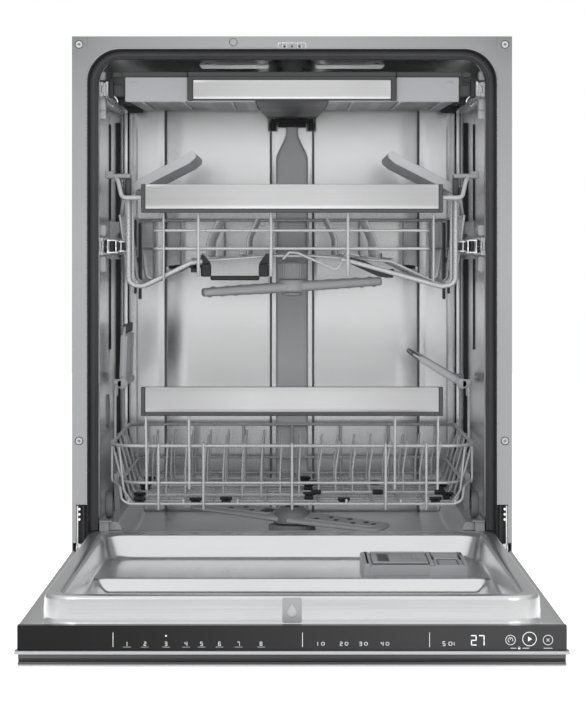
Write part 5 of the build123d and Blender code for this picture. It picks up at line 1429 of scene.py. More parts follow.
def spray_arms():
    mb, jets = MB(), MB()
    held = {}
    for r1, turn, pitch, roll in ((157, -32, 3, 8), (170, 148, -3, -8)):
        m = held[turn] = arm_blade(mb, 8, r1, 28, 22, 168.0, 10.0, pitch, turn, tip=7.0, roll=roll)
        for k in range(7):
            x = 48 + (r1 - 66) * k / 6
            y = (-9, 7, -4, 10, -8, 4, 0)[k]
            p = m @ Vector((x, y, 4.5))
            jets.lathe(p, (0, 0, 1), [(4.4, -1.2), (4.2, 0.2), (3.0, 0.7), (2.0, 0.7), (1.4, 0.2), (0.01, 0.2)], 16)
    hub = MB()
    hub.lathe((0, 265, 158.4), (0, 0, 1), [(10.6, 0), (24, 0), (27, 1.2), (27, 5), (26.4, 14), (23.5, 18.5), (20, 20.6), (17.5, 23.4), (12, 23.8), (10.6, 23.2)], 48)
    for k in range(16):
        a = 2 * math.pi * k / 16
        d = Vector((math.cos(a), math.sin(a), 0))
        o = Vector((0, 265, 0))
        hub.tube([o + d * 17.8 + Vector((0, 0, 178.4)), o + d * 16.2 + Vector((0, 0, 182.2))], 1.2, 6)
    hub.obj("lower_arm_hub", "lower_arm", "grey_plastic", "doser", sharp=40)
    # ribbed turret that the arm turns on
    tur = MB()
    tur.lathe((0, 265, 140.2), (0, 0, 1), [(38, 0), (38, 2.6), (36.4, 4.4), (34, 5.4), (33, 15.4), (31.6, 16.8), (20, 17.2), (11.2, 17.2), (11.2, 1.0), (20, 0)], 56)
    for k in range(32):
        a = 2 * math.pi * k / 32
        d = Vector((math.cos(a), math.sin(a), 0)) * 33.4 + Vector((0, 265, 0))
        tur.tube([d + Vector((0, 0, 146)), d + Vector((0, 0, 155.6))], 1.0, 6)
    tur.obj("arm_turret", "cabinet", "grey_plastic", "doser", sharp=40)
    # stiffening frames on the blades' upper faces
    for turn, e in ((-32, 140), (148, 153)):
        o = MB()
        o.tube(bend([(34, -18, 4.5), (e, -14, 3.7), (e + 4, 0, 3.5), (e, 14, 3.7), (34, 18, 4.5), (30, 0, 4.7), (34, -18, 4.5)], 6, 4), 1.1, 8)
        mb.merge(o.moved(held[turn]))
    mb.obj("lower_arm_shell", "lower_arm", "grey_plastic", "arm_low", ["lower_spray_arm"], sharp=45)
    jets.obj("lower_arm_jets", "lower_arm", "dark_plastic", "dark", sharp=40)
    # dark plate on the blade where an opening would show shade: painted shade
    w = MB()
    o = MB()
    rbox(o, 30, 50, -8, 9, 4.1, 5.7, 0.7)
    w.merge(o.moved(held[148]))
    w.obj("lower_arm_window_shade", "lower_arm", "dark_plastic", "dark", sharp=40)

    mb, jets = MB(), MB()
    for turn, pitch in ((8, -3.5), (188, 3.5)):
        m = arm_blade(mb, 8, 133, 18.5, 15, 505.0, 16.0, pitch, turn, tip=3.5)
        for k in range(5):
            p = m @ Vector((36 + 20 * k, (-5, 4, -3, 5, 0)[k], 6.9))
            jets.lathe(p, (0, 0, 1), [(3.8, -1.2), (3.6, 0.4), (2.4, 1.0), (1.5, 1.0), (1.1, 0.5), (0.01, 0.5)], 14)
            p = m @ Vector((46 + 19 * k, (5, -4, 4, -3, 2)[k], -6.6))
            jets.lathe(p, (0, 0, -1), [(3.4, -1.2), (3.2, 0.6), (2.2, 1.2), (0.01, 1.2)], 14)
    mb.lathe((0, 265, 497.5), (0, 0, 1), [(10.6, 0), (18, 0), (21, 1.4), (22, 4), (21.4, 12), (19, 17), (17, 18.3), (10.6, 18.3)], 40)
    mb.obj("middle_arm_shell", "middle_arm", "grey_plastic", "arm", ["middle_spray_arm"], sharp=45)
    jets.obj("middle_arm_jets", "middle_arm", "grey_plastic", "grey", sharp=40)
    # feed pipe and ribbed hub on the upper rack
    f = MB()
    rings = []
    for y in (268, 290, 440, 462, 470, 476, 479.2):
        h = 12.6 if y < 462 else (14.2 if y < 478 else 13.6)
        rings.append([Vector((h * math.copysign(abs(math.cos(a)) ** 0.7, math.cos(a)), y, 530 + 9.6 * math.copysign(abs(math.sin(a)) ** 0.7, math.sin(a)))) for a in [2 * math.pi * k / 24 for k in range(24)]])
    f.rings(rings)
    f.lathe((0, 265, 516.7), (0, 0, 1), [(9.9, 0), (19, 0), (20.4, 1.2), (20.6, 20), (21, 22.4), (19, 24.2), (0.01, 24.2)], 48)
    for k in range(28):
        a = 2 * math.pi * k / 28
        d = Vector((math.cos(a), math.sin(a), 0)) * 20.5 + Vector((0, 265, 0))
        f.tube([d + Vector((0, 0, 519)), d + Vector((0, 0, 537.6))], 0.9, 6)
    f.lathe((0, 265, 492), (0, 0, 1), [(0.01, 0), (12, 0), (14.4, 1.0), (15, 2.6), (15, 4.6), (9.9, 4.8), (9.9, 25)], 36)
    f.obj("arm_feed", "upper_rack", "grey_plastic", "grey", ["feed_pipe"], sharp=40)


duct()
spray_arms()


# ================================================================ top tray
def tray():
    mb, under, dk = MB(), MB(), MB()
    for s in (-1, 1):
        X = lambda a, b: (min(s * a, s * b), max(s * a, s * b))
        x0, x1 = X(50, 229)
        rbox(under, x0, x1, 28, 466, 765, 768, 1.2)
        x0, x1 = X(225.5, 229)
        rbox(mb, x0, x1, 28, 466, 765, 790, 1.4)
        x0, x1 = X(50, 53)
        rbox(mb, x0, x1, 28, 466, 765, 782, 1.2)
        x0, x1 = X(50, 229)
        rbox(mb, x0, x1, 462.5, 466, 765, 786, 1.4)
        # front: tall outer face with soft edges, lower wall behind the plate
        x0, x1 = X(143.0, 229)
        rbox(mb, x0, x1, 24.5, 28.4, 762, 796.2, 1.6, 4)
        x0, x1 = X(50, 143)
        rbox(mb, x0, x1, 25.2, 28.2, 762, 788, 1.2)
        # thumb mark near the outer top corner
        mb.tube(bend([(s * 222, 24.3, 787.2), (s * 219, 24.3, 789.6), (s * 214, 24.3, 789.6), (s * 211, 24.3, 787.2)], 3, 4), 0.7, 8)
        # comb ribs that hold the pieces apart
        for k in range(18):
            y = 48 + 23.5 * k
            for a, b in ((62, 116), (124, 176), (184, 220)):
                x0, x1 = X(a, b)
                rbox(mb, x0, x1, y - 0.9, y + 0.9, 767.6, 776.5, 0.6, 2)
        for a in (59, 120, 180, 222):
            x0, x1 = X(a - 1, a + 1)
            rbox(mb, x0, x1, 32, 462, 767.6, 779, 0.7, 2)
        # drain slots: dark slabs on both faces of the floor, painted shade in place of openings
        for k in range(17):
            y = 60 + 23.5 * k
            for a, b in ((66, 114), (128, 174), (188, 217)):
                for z in (764.9, 768.08):
                    p, q = s * a, s * b
                    dk.add([(p, y + 9, z), (p, y + 11.4, z), (q, y + 4.4, z), (q, y + 2, z), (p, y + 9, z + 0.05), (p, y + 11.4, z + 0.05), (q, y + 4.4, z + 0.05), (q, y + 2, z + 0.05)], [(0, 1, 2, 3), (4, 7, 6, 5), (0, 4, 5, 1), (1, 5, 6, 2), (2, 6, 7, 3), (3, 7, 4, 0)])
        # beams under the wing
        for a in (84, 150, 208):
            x0, x1 = X(a - 1.6, a + 1.6)
            rbox(under, x0, x1, 30, 380, 761.8, 765.2, 0.8, 2)
    # the wings rise a little towards the back
    rise = Matrix(((1, 0, 0, 0), (0, 1, 0, 0), (0, 0.0225, 1, -0.63), (0, 0, 0, 1)))
    for o in (mb, under, dk):
        o.moved(rise)
    mb.obj("tray_wing_shells", "top_tray", "light_plastic", "wing", ["tray_wings"], sharp=40)
    # the wing floors take the lighter copy of the wing plastic: painted light
    under.obj("tray_wing_floors", "top_tray", "light_plastic", "wing_underside_lifted", sharp=40)
    dk.obj("tray_drain_slit_shades", "top_tray", "dark_plastic", "dark")
    c = MB()
    # centre channel: floor that narrows to the back, two walls, ribs
    fl = [(-49.4, 26), (49.4, 26), (46, 300), (38, 466.6), (-38, 466.6), (-46, 300)]
    c.prism([(x, y, 763.2) for x, y in fl], (0, 0, 3.4))
    for s in (-1, 1):
        wall = [(s * 49.4, 28), (s * 46, 300), (s * 38, 466), (s * 36, 466), (s * 44, 300), (s * 47.2, 28)]
        c.prism([(x, y, 766.0) for x, y in wall], (0, 0, 19.5))
    rbox(c, -49.4, 49.4, 24.6, 28, 762.6, 788, 1.2)
    rbox(c, -38, 38, 463, 466.4, 763, 786, 1.2)
    for k in range(7):
        y = 80 + 62 * k
        if y < 460:
            rbox(c, -36 if y > 380 else -43, 36 if y > 380 else 43, y - 1.2, y + 1.2, 766.0, 778, 0.8, 2)
    c.obj("tray_channel", "top_tray", "dark_plastic", "dark", ["tray_centre"], sharp=40)
    # handle plate, caps, top band and slides
    brushed_plate("tray_grip_plate", "top_tray", 135.5, 766, 792, "tray_handle_plate")
    f = MB()
    for s in (-1, 1):
        X = lambda a, b: (min(s * a, s * b), max(s * a, s * b))
        x0, x1 = X(135.8, 142.6)
        rbox(f, x0, x1, 19.6, 31, 763.4, 797, 1.2)
        x0, x1 = X(143, 233)
        rbox(f, x0, x1, 26, 40, 796.4, 803.8, 1.2)
        x0, x1 = X(232, 246)
        rbox(f, x0, x1, 30.5, 40, 796.4, 803.8, 1.2)
        x0, x1 = X(228.8, 252.6)
        for y in (34, 230, 440):
            rbox(f, x0, x1, y, y + 16, 770, 786, 1.5)
    rbox(f, -142.6, 142.6, 21.4, 36, 792.4, 803.4, 1.2)
    rbox(f, -142.6, 142.6, 19.8, 31, 792.3, 796.8, 0.9)
    rbox(f, -135.6, 135.6, 21.4, 24.4, 764, 794, 0.8)
    f.obj("tray_grip_frame", "top_tray", "dark_plastic", "cap", ["tray_frame"], sharp=40)
    r = MB()
    for s in (-1, 1):
        X = lambda a, b: (min(s * a, s * b), max(s * a, s * b))
        sec = [(252.4, 772.2), (255.8, 772.2), (255.8, 774.4), (254.2, 775.2), (254.2, 786.8), (255.8, 787.6), (255.8, 789.8), (252.4, 789.8)]
        r.rings([[Vector((s * x, y, z)) for x, z in sec] for y in (30, 31, 484, 485)])
    r.obj("tray_slides", "top_tray", "rail_steel", "rail", sharp=40)
    # front fittings of the tray's rails
    g, k, n = MB(), MB(), MB()
    for s in (-1, 1):
        X = lambda a, b: (min(s * a, s * b), max(s * a, s * b))
        x0, x1 = X(257.4, 266.4)
        rbox(g, x0, x1, 50, 74, 793, 806, 2.6)
        rbox(g, x0, x1, 50, 74, 752, 769, 2.6)
        rbox(g, x0, x1, 54, 66, 740, 753, 2.0)
        x0, x1 = X(245, 251.8)
        rbox(k, x0, x1, 27, 44, 768, 792, 2.0)
        x0, x1 = X(252.8, 255.6)
        rbox(n, x0, x1, 29.4, 38, 771, 791, 1.0)
        n.tube(bend([(s * 244, 30, 770), (s * 238, 27, 763), (s * 246, 40, 757), (s * 254, 52, 766)], 5, 4), 1.3, 10)
    g.obj("tray_wall_brackets", "cabinet", "grey_plastic", "grey", sharp=40)
    k.obj("tray_slide_noses", "top_tray", "black_plastic", "black", sharp=40)
    n.obj("tray_slide_clips", "top_tray", "bright_chrome", "chrome", sharp=40)


tray()


# ================================================================ dispenser
def dispenser():
    b = MB()
    rbox(b, 89, 221, -265.4, -139.6, 146.8, 162.6, 2.2)
    rings = []
    for z, e in ((146.8, 0.6), (150, 0.0), (162, 0.0), (164.4, 0.8), (165.4, 2.6)):
        rings.append(round_rect(88.2 + e, 100.6 - e * 0.3, -266.4 + e, -139.6 - e, 5.6, z, 6))
    b.rings(rings)
    # lip along the front, and the fixed bridge behind the flap
    rbox(b, 100.4, 173, -265.8, -258.6, 150.2, 163.4, 1.2)
    rbox(b, 174, 220.6, -170.6, -140.2, 161.8, 164.6, 1.0)
    rbox(b, 216.2, 220.8, -265.2, -140.2, 161.8, 164.6, 1.0)
    rbox(b, 173.4, 178.4, -265.2, -140.2, 161.8, 165.2, 1.0)
    rbox(b, 180, 216, -265.0, -209.0, 160.8, 163.4, 1.0)
    rbox(b, 101, 173, -153.4, -139.8, 161.8, 165.4, 1.0)
    b.obj("doser_body", "door", "dark_plastic", "doser", ["dispenser_body"], sharp=40)
    # black strips in the gaps round the lid and flap: painted shade
    d = MB()
    rbox(d, 101.2, 172.4, -258.4, -255.6, 161.6, 162.9, 0.3)
    for x in (179.2, 215.2):
        rbox(d, x - 0.7, x + 0.7, -208, -141, 161.6, 165.2, 0.4)
    for x in (184.6, 209.6):
        rbox(d, x - 0.6, x + 0.6, -263, -210, 161.2, 164.0, 0.3)
    rbox(d, 185, 209.2, -210.4, -208.8, 161.2, 163.8, 0.3)
    d.obj("doser_gap_shades", "door", "black_plastic", "black")
    l = MB()
    rbox(l, 101.6, 171.6, -255.4, -154.2, 163.4, 166.2, 1.0)
    rbox(l, 101.6, 171.6, -171.6, -166.0, 165.6, 168.4, 1.2)
    for x in (136, 142, 148, 154, 160):
        rbox(l, x - 0.8, x + 0.8, -250, -180, 166.0, 166.7, 0.4)
    l.obj("doser_lid", "detergent_cover", "grey_plastic", "doser", ["detergent_lid"], sharp=40)
    k = MB()
    rbox(k, 108.6, 123.4, -250, -174, 165.8, 167.0, 0.6)
    for y in (-240, -228, -216, -204, -192):
        rbox(k, 111, 121, y - 1.2, y + 1.2, 166.8, 167.8, 0.5)
    k.obj("doser_lid_button", "detergent_cover", "dark_plastic", "dark", sharp=40)
    f = MB()
    rbox(f, 181.4, 212.8, -205.6, -171.4, 161.6, 164.4, 1.0)
    rbox(f, 188, 206, -206.6, -202.8, 162.6, 165.0, 0.8)
    f.lathe((181.6, -170.2, 163.2), (1, 0, 0), [(0.01, 0), (1.3, 0), (1.5, 0.3), (1.5, 30.6), (1.3, 31), (0.01, 31)], 14)
    f.obj("rinse_flap", "rinse_cover", "grey_plastic", "insert", ["rinse_aid_flap"], sharp=40)


dispenser()


# ================================================================ outside
def field(u, v, u0, u1, v0, v1, r, ramp_w):
    """How far a point lies inside a rounded pressed field: 0 outside, 1 on its floor."""
    cu, cv, hu, hv = (u0 + u1) / 2, (v0 + v1) / 2, (u1 - u0) / 2 - r, (v1 - v0) / 2 - r
    du, dv = abs(u - cu) - hu, abs(v - cv) - hv
    d = r - (math.hypot(max(du, 0), max(dv, 0)) + min(max(du, dv), 0))
    return step(0, ramp_w, d)


def lines(lo, hi, pitch, marks, fine=2.5, reach=14.0):
    """Grid lines with a finer pitch around the marks."""
    out = {lo, hi}
    k = lo
    while k < hi:
        out.add(round(k, 3))
        k += pitch
    for m_ in marks:
        d = -reach
        while d <= reach:
            if lo < m_ + d < hi:
                out.add(round(m_ + d, 3))
            d += fine
    out = sorted(out)
    keep = [out[0]]
    for v in out[1:]:
        if v - keep[-1] > 0.9:
            keep.append(v)
    keep[-1] = hi
    return keep


def sheet(mb, us, vs, place):
    n = len(us)
    verts = [place(u, v) for v in vs for u in us]
    faces = [(j * n + i, j * n + i + 1, (j + 1) * n + i + 1, (j + 1) * n + i) for j in range(len(vs) - 1) for i in range(n - 1)]
    return mb.add(verts, faces)


def side_panels():
    mb, fold, sc = MB(), MB(), MB()
    fields = ((44, 268, 120, 796), (300, 508, 120, 796))
    ys = lines(1.4, 547.8, 16, [44, 268, 300, 508])
    zs = lines(60.2, 848.8, 18, [120, 796, 300, 330, 560, 590])

    def depth(y, z):
        d = max(field(y, z, *f, 26, 9) for f in fields) * 5.6
        rib = max(field(y, z, f[0] + 18, f[1] - 18, a, a + 30, 14, 7) for f in fields for a in (300, 560))
        return d - 4.0 * rib

    for s in (-1, 1):
        sheet(mb, ys, zs, lambda y, z: (s * (299.3 - depth(y, z)), y, z))
        X = lambda a, b: (min(s * a, s * b), max(s * a, s * b))
        x0, x1 = X(283, 299.2)
        fold.box(x0, x1, 546.6, 547.8, 62, 846)
        x0, x1 = X(284, 299.2)
        fold.box(x0, x1, 34, 546, 847.6, 848.8)
        for z in (110, 330, 560, 800):
            sc.lathe((s * 290, 547.6, z), (0, 1, 0), [(4.6, 0), (4.6, 1.0), (3.6, 1.9), (1.6, 2.0), (1.3, 1.1), (0.01, 1.1)], 18)
        for y in (26, 534):
            for z in (100, 450, 815):
                sc.lathe((s * 298.9, y, z), (s, 0, 0), [(4.2, 0), (4.2, 0.6), (3.2, 1.2), (1.5, 1.3), (1.2, 0.6), (0.01, 0.6)], 18)
    o = mb.obj("side_skins", "cabinet", "galvanised", "galv", ["side_panels"], sharp=60)
    t = o.modifiers.new("thick", "SOLIDIFY")
    t.thickness, t.offset = 0.0009, 0
    fold.obj("side_skin_folds", "cabinet", "galvanised", "galv", bevel=0.4)
    sc.obj("side_skin_screws", "cabinet", "bright_chrome", "rail", sharp=40)
    # folded-back rail of the face frame and a tie strap over the blanket
    r = MB()
    r.box(-298.8, 298.8, 1.4, 33, 848.2, 849.6)
    r.box(-298.8, 298.8, 31.8, 33, 838, 848.2)
    for x0, x1, y0, y1 in ((-298, 298, 424, 452), ):
        sec = [(y0, 846.6), (y0 + 5, 847.9), (y0 + 9, 847.9), (y0 + 11, 846.9), (y1 - 11, 846.9), (y1 - 9, 847.9), (y1 - 5, 847.9), (y1, 846.6), (y1, 846.0), (y0, 846.0)]
        r.rings([[Vector((x, y, z)) for y, z in sec] for x in (x0, x0 + 20, 0, x1 - 20, x1)])
    for x in (-200, 200):
        r.box(x - 14, x + 14, 34, 96, 847.2, 848.6)
    r.obj("top_ties", "cabinet", "galvanised", "galv", bevel=0.3)
    c = MB()
    for x, y in ((-285, 438), (285, 438), (-200, 84), (200, 84), (-200, 48), (200, 48)):
        c.lathe((x, y, 847.6), (0, 0, 1), [(4.6, 0), (4.6, 0.9), (3.6, 1.7), (1.6, 1.8), (1.3, 0.9), (0.01, 0.9)], 18)
    c.obj("top_tie_screws", "cabinet", "bright_chrome", "rail", sharp=40)


def blanket():
    mb = MB()

    def pad(u0, u1, v0, v1, base, thick, place, quilt_u, quilt_v):
        us = lines(u0, u1, 14, [u0, u1] + list(quilt_u), 3.0, 12)
        vs = lines(v0, v1, 14, [v0, v1] + list(quilt_v), 3.0, 12)

        def h(u, v):
            e = min(u - u0, u1 - u, v - v0, v1 - v)
            k = math.sqrt(max(0.0, 1 - max(0.0, 1 - e / 9.0) ** 2)) if e < 9 else 1.0
            q = max([groove(u - q_, 9) for q_ in quilt_u] + [groove(v - q_, 9) for q_ in quilt_v] + [0.0])
            wav = 0.7 * math.sin(u * 0.045 + v * 0.02) + 0.6 * math.sin(v * 0.06 - u * 0.013)
            return base + (thick + wav * k) * (0.25 + 0.75 * k) - 4.2 * q * k

        n0 = len(mb.v)
        sheet(mb, us, vs, lambda u, v: place(u, v, h(u, v)))
        # close the underside
        n = len(us)
        rim = [i for i in range(n)] + [n - 1 + n * j for j in range(1, len(vs))] + [n * (len(vs) - 1) + i for i in range(n - 2, -1, -1)] + [n * j for j in range(len(vs) - 2, 0, -1)]
        grid = [(u, v) for v in vs for u in us]
        low = [place(grid[i][0], grid[i][1], base) for i in rim]
        k0 = len(mb.v)
        mb.v.extend([Vector(p) for p in low])
        m_ = len(rim)
        for i in range(m_):
            a, b = n0 + rim[i], n0 + rim[(i + 1) % m_]
            mb.f.append((a, k0 + i, k0 + (i + 1) % m_, b))
        mb.f.append(tuple(range(k0, k0 + m_)))

    pad(-266, 266, 150, 840, 501.4, 21.6, lambda u, v, h: (u, h, v), (-133, 0, 133), (320, 490, 660))
    pad(-266, 266, 50, 500, 827.6, 17.8, lambda u, v, h: (u, v, h), (-133, 0, 133), (200, 350))
    for s in (-1, 1):
        pad(50, 498, 200, 820, 268.6, 20.6, lambda u, v, h: (s * h, u, v), (200, 350), (355, 510, 665))
    mb.obj("felt_pads", "cabinet", "felt", "felt", ["insulation_blanket"], sharp=70)
    r = MB()
    for x in (-200, 200):
        for z in (235, 405, 575, 745):
            r.lathe((x, 521.4, z), (0, 1, 0), [(9, 0), (9, 0.6), (7.6, 1.6), (3, 2.2), (0.01, 2.3)], 24)
    for z in (270, 610):
        r.box(-266, 266, 525.4, 526.6, z - 8, z + 8)
        r.box(-12, 12, 525.2, 527.4, z - 11, z + 11)
    r.obj("felt_fasteners", "cabinet", "black_plastic", "black", bevel=0.4)


def base():
    mb, ft = MB(), MB()
    # stiffening ribs and a lip round the moulded base
    for k in range(19):
        x = -270 + 30 * k
        if min(abs(x + 215), abs(x + 150), abs(x - 205)) > 20:
            rbox(mb, x - 1.5, x + 1.5, 539.2, 543.4, 24, 134, 0.8, 2)
    rbox(mb, -296, 296, 538.6, 543.8, 132, 138.4, 1.2)
    rbox(mb, -296, 296, 538.6, 543.8, 18.2, 24, 1.2)
    for s in (-1, 1):
        X = lambda a, b: (min(s * a, s * b), max(s * a, s * b))
        for k in range(15):
            y = 66 + 33 * k
            x0, x1 = X(295.4, 297.6)
            rbox(mb, x0, x1, y - 1.4, y + 1.4, 22, 58, 0.7, 2)
    for x in (-200, 0, 200):
        rbox(mb, x - 30, x + 30, 43.6, 46.4, 50, 58, 1.0)
    rbox(mb, -296, 296, 44.6, 46.4, 108, 118, 0.8)
    rbox(mb, -296, 296, 44.6, 46.4, 22, 30, 0.8)
    mb.obj("base_ribs", "cabinet", "dark_plastic", "dark", sharp=40)
    for x in (-262, 262):
        for y in (70, 505):
            ft.lathe((x, y, 0), (0, 0, 1), [(17, 0), (20.4, 0.4), (21, 1.6), (20.4, 3.6), (17.6, 5.2), (11.6, 6.8), (10.4, 7.4), (7.0, 7.6), (7.0, 18)], 40)
            hexa = [Vector((x + 10.6 * math.cos(math.pi / 3 * k), y + 10.6 * math.sin(math.pi / 3 * k), 7.2)) for k in range(6)]
            ft.rings([hexa, [p + Vector((0, 0, 4.4)) for p in hexa]])
            pts = [(x + 7.2 * math.cos(2 * math.pi * k / 12), y + 7.2 * math.sin(2 * math.pi * k / 12), 11.8 + 1.9 * k / 12) for k in range(38)]
            ft.tube(pts, 0.5, 6)
    ft.obj("screw_feet", "cabinet", "black_plastic", "black", ["leveling_feet"], sharp=40)
    # hose thread, spigot and cord gland
    v = MB()
    rbox(v, -240, -190, 470, 527.6, 68, 122, 3.0)
    rbox(v, -232, -198, 478, 520, 121, 130, 3.0)
    v.lathe((-215, 527, 95), (0, 1, 0), [(17.5, 0), (17.5, 3), (14.0, 4), (12.5, 4.4), (12.5, 25.2), (11.6, 26), (9.2, 26), (9.2, 12), (0.01, 12)], 40)
    pts = [(-215 + 12.6 * math.cos(2 * math.pi * k / 20), 532.5 + 1.81 * k / 20, 95 + 12.6 * math.sin(2 * math.pi * k / 20)) for k in range(201)]
    v.tube(pts, 0.62, 6)
    v.obj("inlet_thread", "cabinet", "white_plastic", "white", ["inlet_valve"], sharp=40)
    d = MB()
    d.lathe((-150, 205, 66), (0, 1, 0), [(24, 0), (29, 1), (30, 3), (30, 56), (28, 60), (22, 61), (22, 122), (20, 125), (0.01, 125)], 36)
    d.lathe((-150, 206, 66), (0, -1, 0), [(14, 0), (14, 54), (12.4, 56), (10.5, 56), (10.5, 40), (0.01, 40)], 28)
    for k in range(8):
        a = 2 * math.pi * k / 8
        d.tube([(-150 + 30 * math.cos(a), 212, 66 + 30 * math.sin(a)), (-150 + 30 * math.cos(a), 256, 66 + 30 * math.sin(a))], 1.6, 6)
    d.lathe((-150, 470, 95), (0, 1, 0), [(9.0, 0), (9.0, 56), (17, 56.2), (17, 66.2), (9.2, 66.6), (9.0, 70), (9.5, 73), (8.6, 76), (9.5, 79), (8.6, 82.6), (7.4, 83.2), (6.2, 83.2), (6.2, 60), (0.01, 60)], 32)
    d.obj("drain_unit", "cabinet", "dark_plastic", "dark", ["drain_pump"], sharp=40)
    g = MB()
    rbox(g, 160, 250, 450, 536.4, 55, 135, 3.0)
    for k in range(6):
        rbox(g, 168 + 13 * k, 172 + 13 * k, 449, 451, 62, 128, 0.8, 2)
    hexa = [Vector((205 + 11.4 * math.cos(math.pi / 3 * k), 536, 95 + 11.4 * math.sin(math.pi / 3 * k))) for k in range(6)]
    inner_ = [Vector((205 + 4.6 * math.cos(math.pi / 3 * k), 536, 95 + 4.6 * math.sin(math.pi / 3 * k))) for k in range(6)]
    up = Vector((0, 6.5, 0))
    g.rings([hexa, [p + up for p in hexa], [p + up for p in inner_], inner_], True, False, False)
    g.lathe((205, 542, 95), (0, 1, 0), [(4.6, -4), (9.6, -4), (9.6, 3.4), (8.6, 5.6), (5.2, 6.0), (4.5, 5.4)], 32)
    g.obj("mains_box", "cabinet", "black_plastic", "black", ["terminal_box"], sharp=40)


def door_outside():
    mb = MB()
    ys = lines(-689.6, -10.4, 22, [-640, -60])
    xs = lines(-298.2, 298.2, 22, [-250, 250])
    sheet(mb, xs, ys, lambda x, y: (x, y, 108.2 + 3.0 * field(x, y, -250, 250, -640, -60, 30, 9)))
    o = mb.obj("door_outer_skin", "door", "flange_steel", "galv", ["door_outer_panel"], sharp=60)
    t = o.modifiers.new("thick", "SOLIDIFY")
    t.thickness, t.offset = 0.0009, 0
    w = MB()
    for s in (-1, 1):
        X = lambda a, b: (min(s * a, s * b), max(s * a, s * b))
        x0, x1 = X(297.2, 298.4)
        w.box(x0, x1, -683, -10.4, 108.4, 149.4)
    w.box(-278, 278, -11.4, -10.2, 108.4, 149.0)
    w.box(-298.2, 298.2, -690, -688.8, 108.2, 111.0)
    w.obj("door_outer_folds", "door", "flange_steel", "flange", bevel=0.4)
    r = MB()
    for x in (-215, 215):
        sec = [(x - 16, 108.1), (x - 16, 109.3), (x - 11, 109.3), (x - 9, 108.2), (x + 9, 108.2), (x + 11, 109.3), (x + 16, 109.3), (x + 16, 108.1)]
        r.rings([[Vector((a, y, z)) for a, z in sec] for y in (-656, -645, -400, -160)])
    r.obj("panel_fixing_rails", "door", "rail_steel", "rail", bevel=0.2)
    k = MB()
    for x in (-282, 282):
        for y in (-660, -520, -380, -240, -100, -30):
            k.lathe((x, y, 108.4), (0, 0, -1), [(4.4, 0), (4.2, 0.4), (0.01, 0.5)], 16)
    k.obj("door_outer_screws", "door", "bright_chrome", "rail")
    # springs: close-wound coils with hooked ends
    sp = MB()
    for s in (-1, 1):
        pts = [(s * 284, 54, 46), (s * 284, 62, 46)]
        for i in range(56 * 9):
            a = 2 * math.pi * i / 9
            pts.append((s * 284 + 7 * math.cos(a), 66 + 234.0 * i / (56 * 9), 46 + 7 * math.sin(a)))
        pts += [(s * 284, 306, 46), (s * 284, 330, 46)]
        sp.tube(pts, 1.1, 6)
    sp.obj("balance_springs", "cabinet", "spring_steel", "spring", ["door_springs"], sharp=60)


side_panels()
blanket()
base()
door_outside()


# ================================================================ camera, light, floor
cam_data = bpy.data.cameras.new("camera")
cam = bpy.data.objects.new("camera", cam_data)
bpy.context.scene.collection.objects.link(cam)
cam_data.sensor_width = 36.0
cam_data.sensor_fit = "AUTO"
cam_data.lens = 2500.0 / 702.0 * 36.0
cam_data.shift_y = -101.0 / 702.0
cam_data.shift_x = 0.0007
cam.location = (0.0, -3.404 + SHIFT / 1000.0, 0.559)
cam.rotation_euler = (math.radians(90), 0, 0)
bpy.context.scene.camera = cam

world = bpy.data.worlds.new("world")
bpy.context.scene.world = world
world.use_nodes = True
wt = world.node_tree
w_tc = wt.nodes.new("ShaderNodeTexCoord")
w_sep = wt.nodes.new("ShaderNodeSeparateXYZ")
wt.links.new(w_tc.outputs["Generated"], w_sep.inputs["Vector"])
w_low = span(wt, w_sep.outputs["Z"], 0.0, 1.0, 0.05, 0.55)
w_y = span(wt, w_sep.outputs["Y"], 0.0, 1.0, -1.0, 0.25)
w_mix = wt.nodes.new("ShaderNodeMath")
w_mix.operation = "MAXIMUM"
wt.links.new(w_low, w_mix.inputs[0])
wt.links.new(w_y, w_mix.inputs[1])


def grey(stops):
    return [(pos, (v, v, v)) for pos, v in stops]


def pick(fac, a, b):
    m = wt.nodes.new("ShaderNodeMix")
    m.data_type = "RGBA"
    wt.links.new(fac, m.inputs["Factor"])
    wt.links.new(a, m.inputs["A"])
    if isinstance(b, tuple):
        m.inputs["B"].default_value = b
    else:
        wt.links.new(b, m.inputs["B"])
    return m.outputs["Result"]


# What lights the object, what its bright surfaces mirror (a room with a dim band at eye level in front
# of it and a darker end behind it), and the white backdrop.
w_soft = ramp(wt, w_mix.outputs["Value"], grey([(0.0, 0.62), (0.35, 0.60), (0.75, 0.92), (0.95, 1.0)]))
w_up = span(wt, w_sep.outputs["Z"], 0.0, 1.0, -0.25, 1.0)
w_front = ramp(wt, w_up, grey([(0.0, 0.62), (0.16, 0.80), (0.20, 0.95), (0.228, 0.88), (0.256, 0.72), (0.32, 0.70), (0.6, 0.85), (1.0, 0.95)]))
w_rear = ramp(wt, w_up, grey([(0.0, 0.50), (0.28, 0.36), (0.52, 0.40), (1.0, 0.95)]))
w_room = pick(span(wt, w_sep.outputs["Y"], 0.0, 1.0, -0.25, 0.35), w_front, w_rear)
w_ray = wt.nodes.new("ShaderNodeLightPath")
w_col = pick(w_ray.outputs["Is Glossy Ray"], w_soft, w_room)
w_col = pick(w_ray.outputs["Is Camera Ray"], w_col, (1.0, 1.0, 1.0, 1.0))
wt.links.new(w_col, wt.nodes["Background"].inputs["Color"])
world.node_tree.nodes["Background"].inputs["Strength"].default_value = 1.0


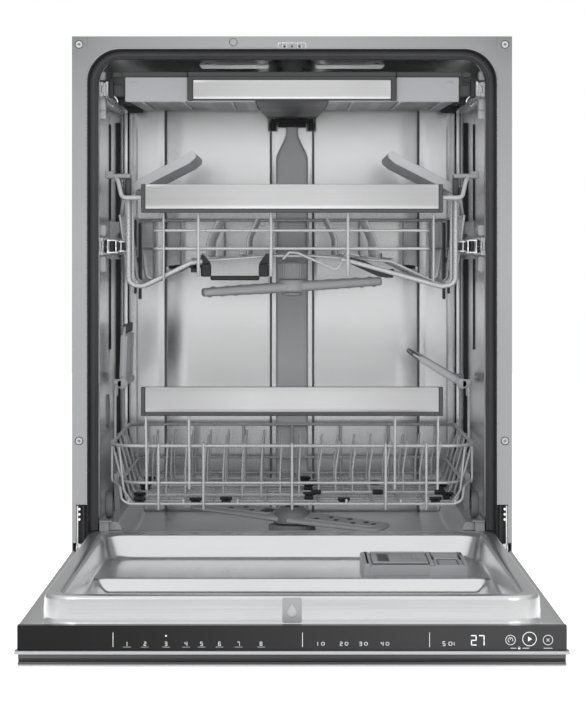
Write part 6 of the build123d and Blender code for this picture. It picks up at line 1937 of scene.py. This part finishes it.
def area(name, loc, look, size, power, size_y=None):
    d = bpy.data.lights.new(name, "AREA")
    d.energy = power
    d.shape = "RECTANGLE"
    d.size = size
    d.size_y = size_y or size
    o = bpy.data.objects.new(name, d)
    bpy.context.scene.collection.objects.link(o)
    o.location = loc
    o.rotation_euler = (Vector(look) - Vector(loc)).to_track_quat("-Z", "Y").to_euler()
    return o


front = area("front", (0.0, -3.3, 0.90), (0, 0.1, 0.45), 2.4, 40, 1.3)
front.visible_glossy = False          # lights the plastics without glaring in the steel
area("key", (-1.3, -2.3, 2.2), (0, 0, 0.5), 1.2, 8)
area("fill", (1.5, -2.4, 1.5), (0, 0.1, 0.45), 1.2, 5)
card = area("tub_card", (0.0, 0.117, 0.726), (0, 0.55, 0.726), 0.52, 0.026, 0.08)      # light card under the tray
card.visible_camera = False

fl = bpy.data.meshes.new("floor")
fl.from_pydata([(-8, -2.7, -0.0005), (8, -2.7, -0.0005), (8, 8, -0.0005), (-8, 8, -0.0005)], [], [(0, 1, 2, 3)])
floor = bpy.data.objects.new("floor", fl)
bpy.context.scene.collection.objects.link(floor)
m, nt, b = new_mat("floor_pale")
c = noise(nt, 6.0, 3.0)
nt.links.new(ramp(nt, c, [(0.3, (0.93, 0.93, 0.93)), (0.7, (0.95, 0.95, 0.95))]), b.inputs["Base Color"])
b.inputs["Roughness"].default_value = 0.6
b.inputs["Emission Color"].default_value = (1.0, 1.0, 1.0, 1.0)
# the floor glows a little more under the open door, where its own shadow would grey it
tc = nt.nodes.new("ShaderNodeTexCoord")
sep = nt.nodes.new("ShaderNodeSeparateXYZ")
nt.links.new(tc.outputs["Object"], sep.inputs["Vector"])
mask = calc(nt, "MULTIPLY", span(nt, calc(nt, "ABSOLUTE", sep.outputs["X"]), 1.0, 0.0, 0.16, 0.42), span(nt, sep.outputs["Y"], 0.0, 1.0, -0.80, -0.45))
mask = calc(nt, "MULTIPLY", mask, span(nt, sep.outputs["Y"], 1.0, 0.0, 0.05, 0.25))
nt.links.new(span(nt, mask, 0.46, 0.72, 0.0, 1.0), b.inputs["Emission Strength"])
fl.materials.append(m)

bpy.context.scene.view_settings.view_transform = "Standard"
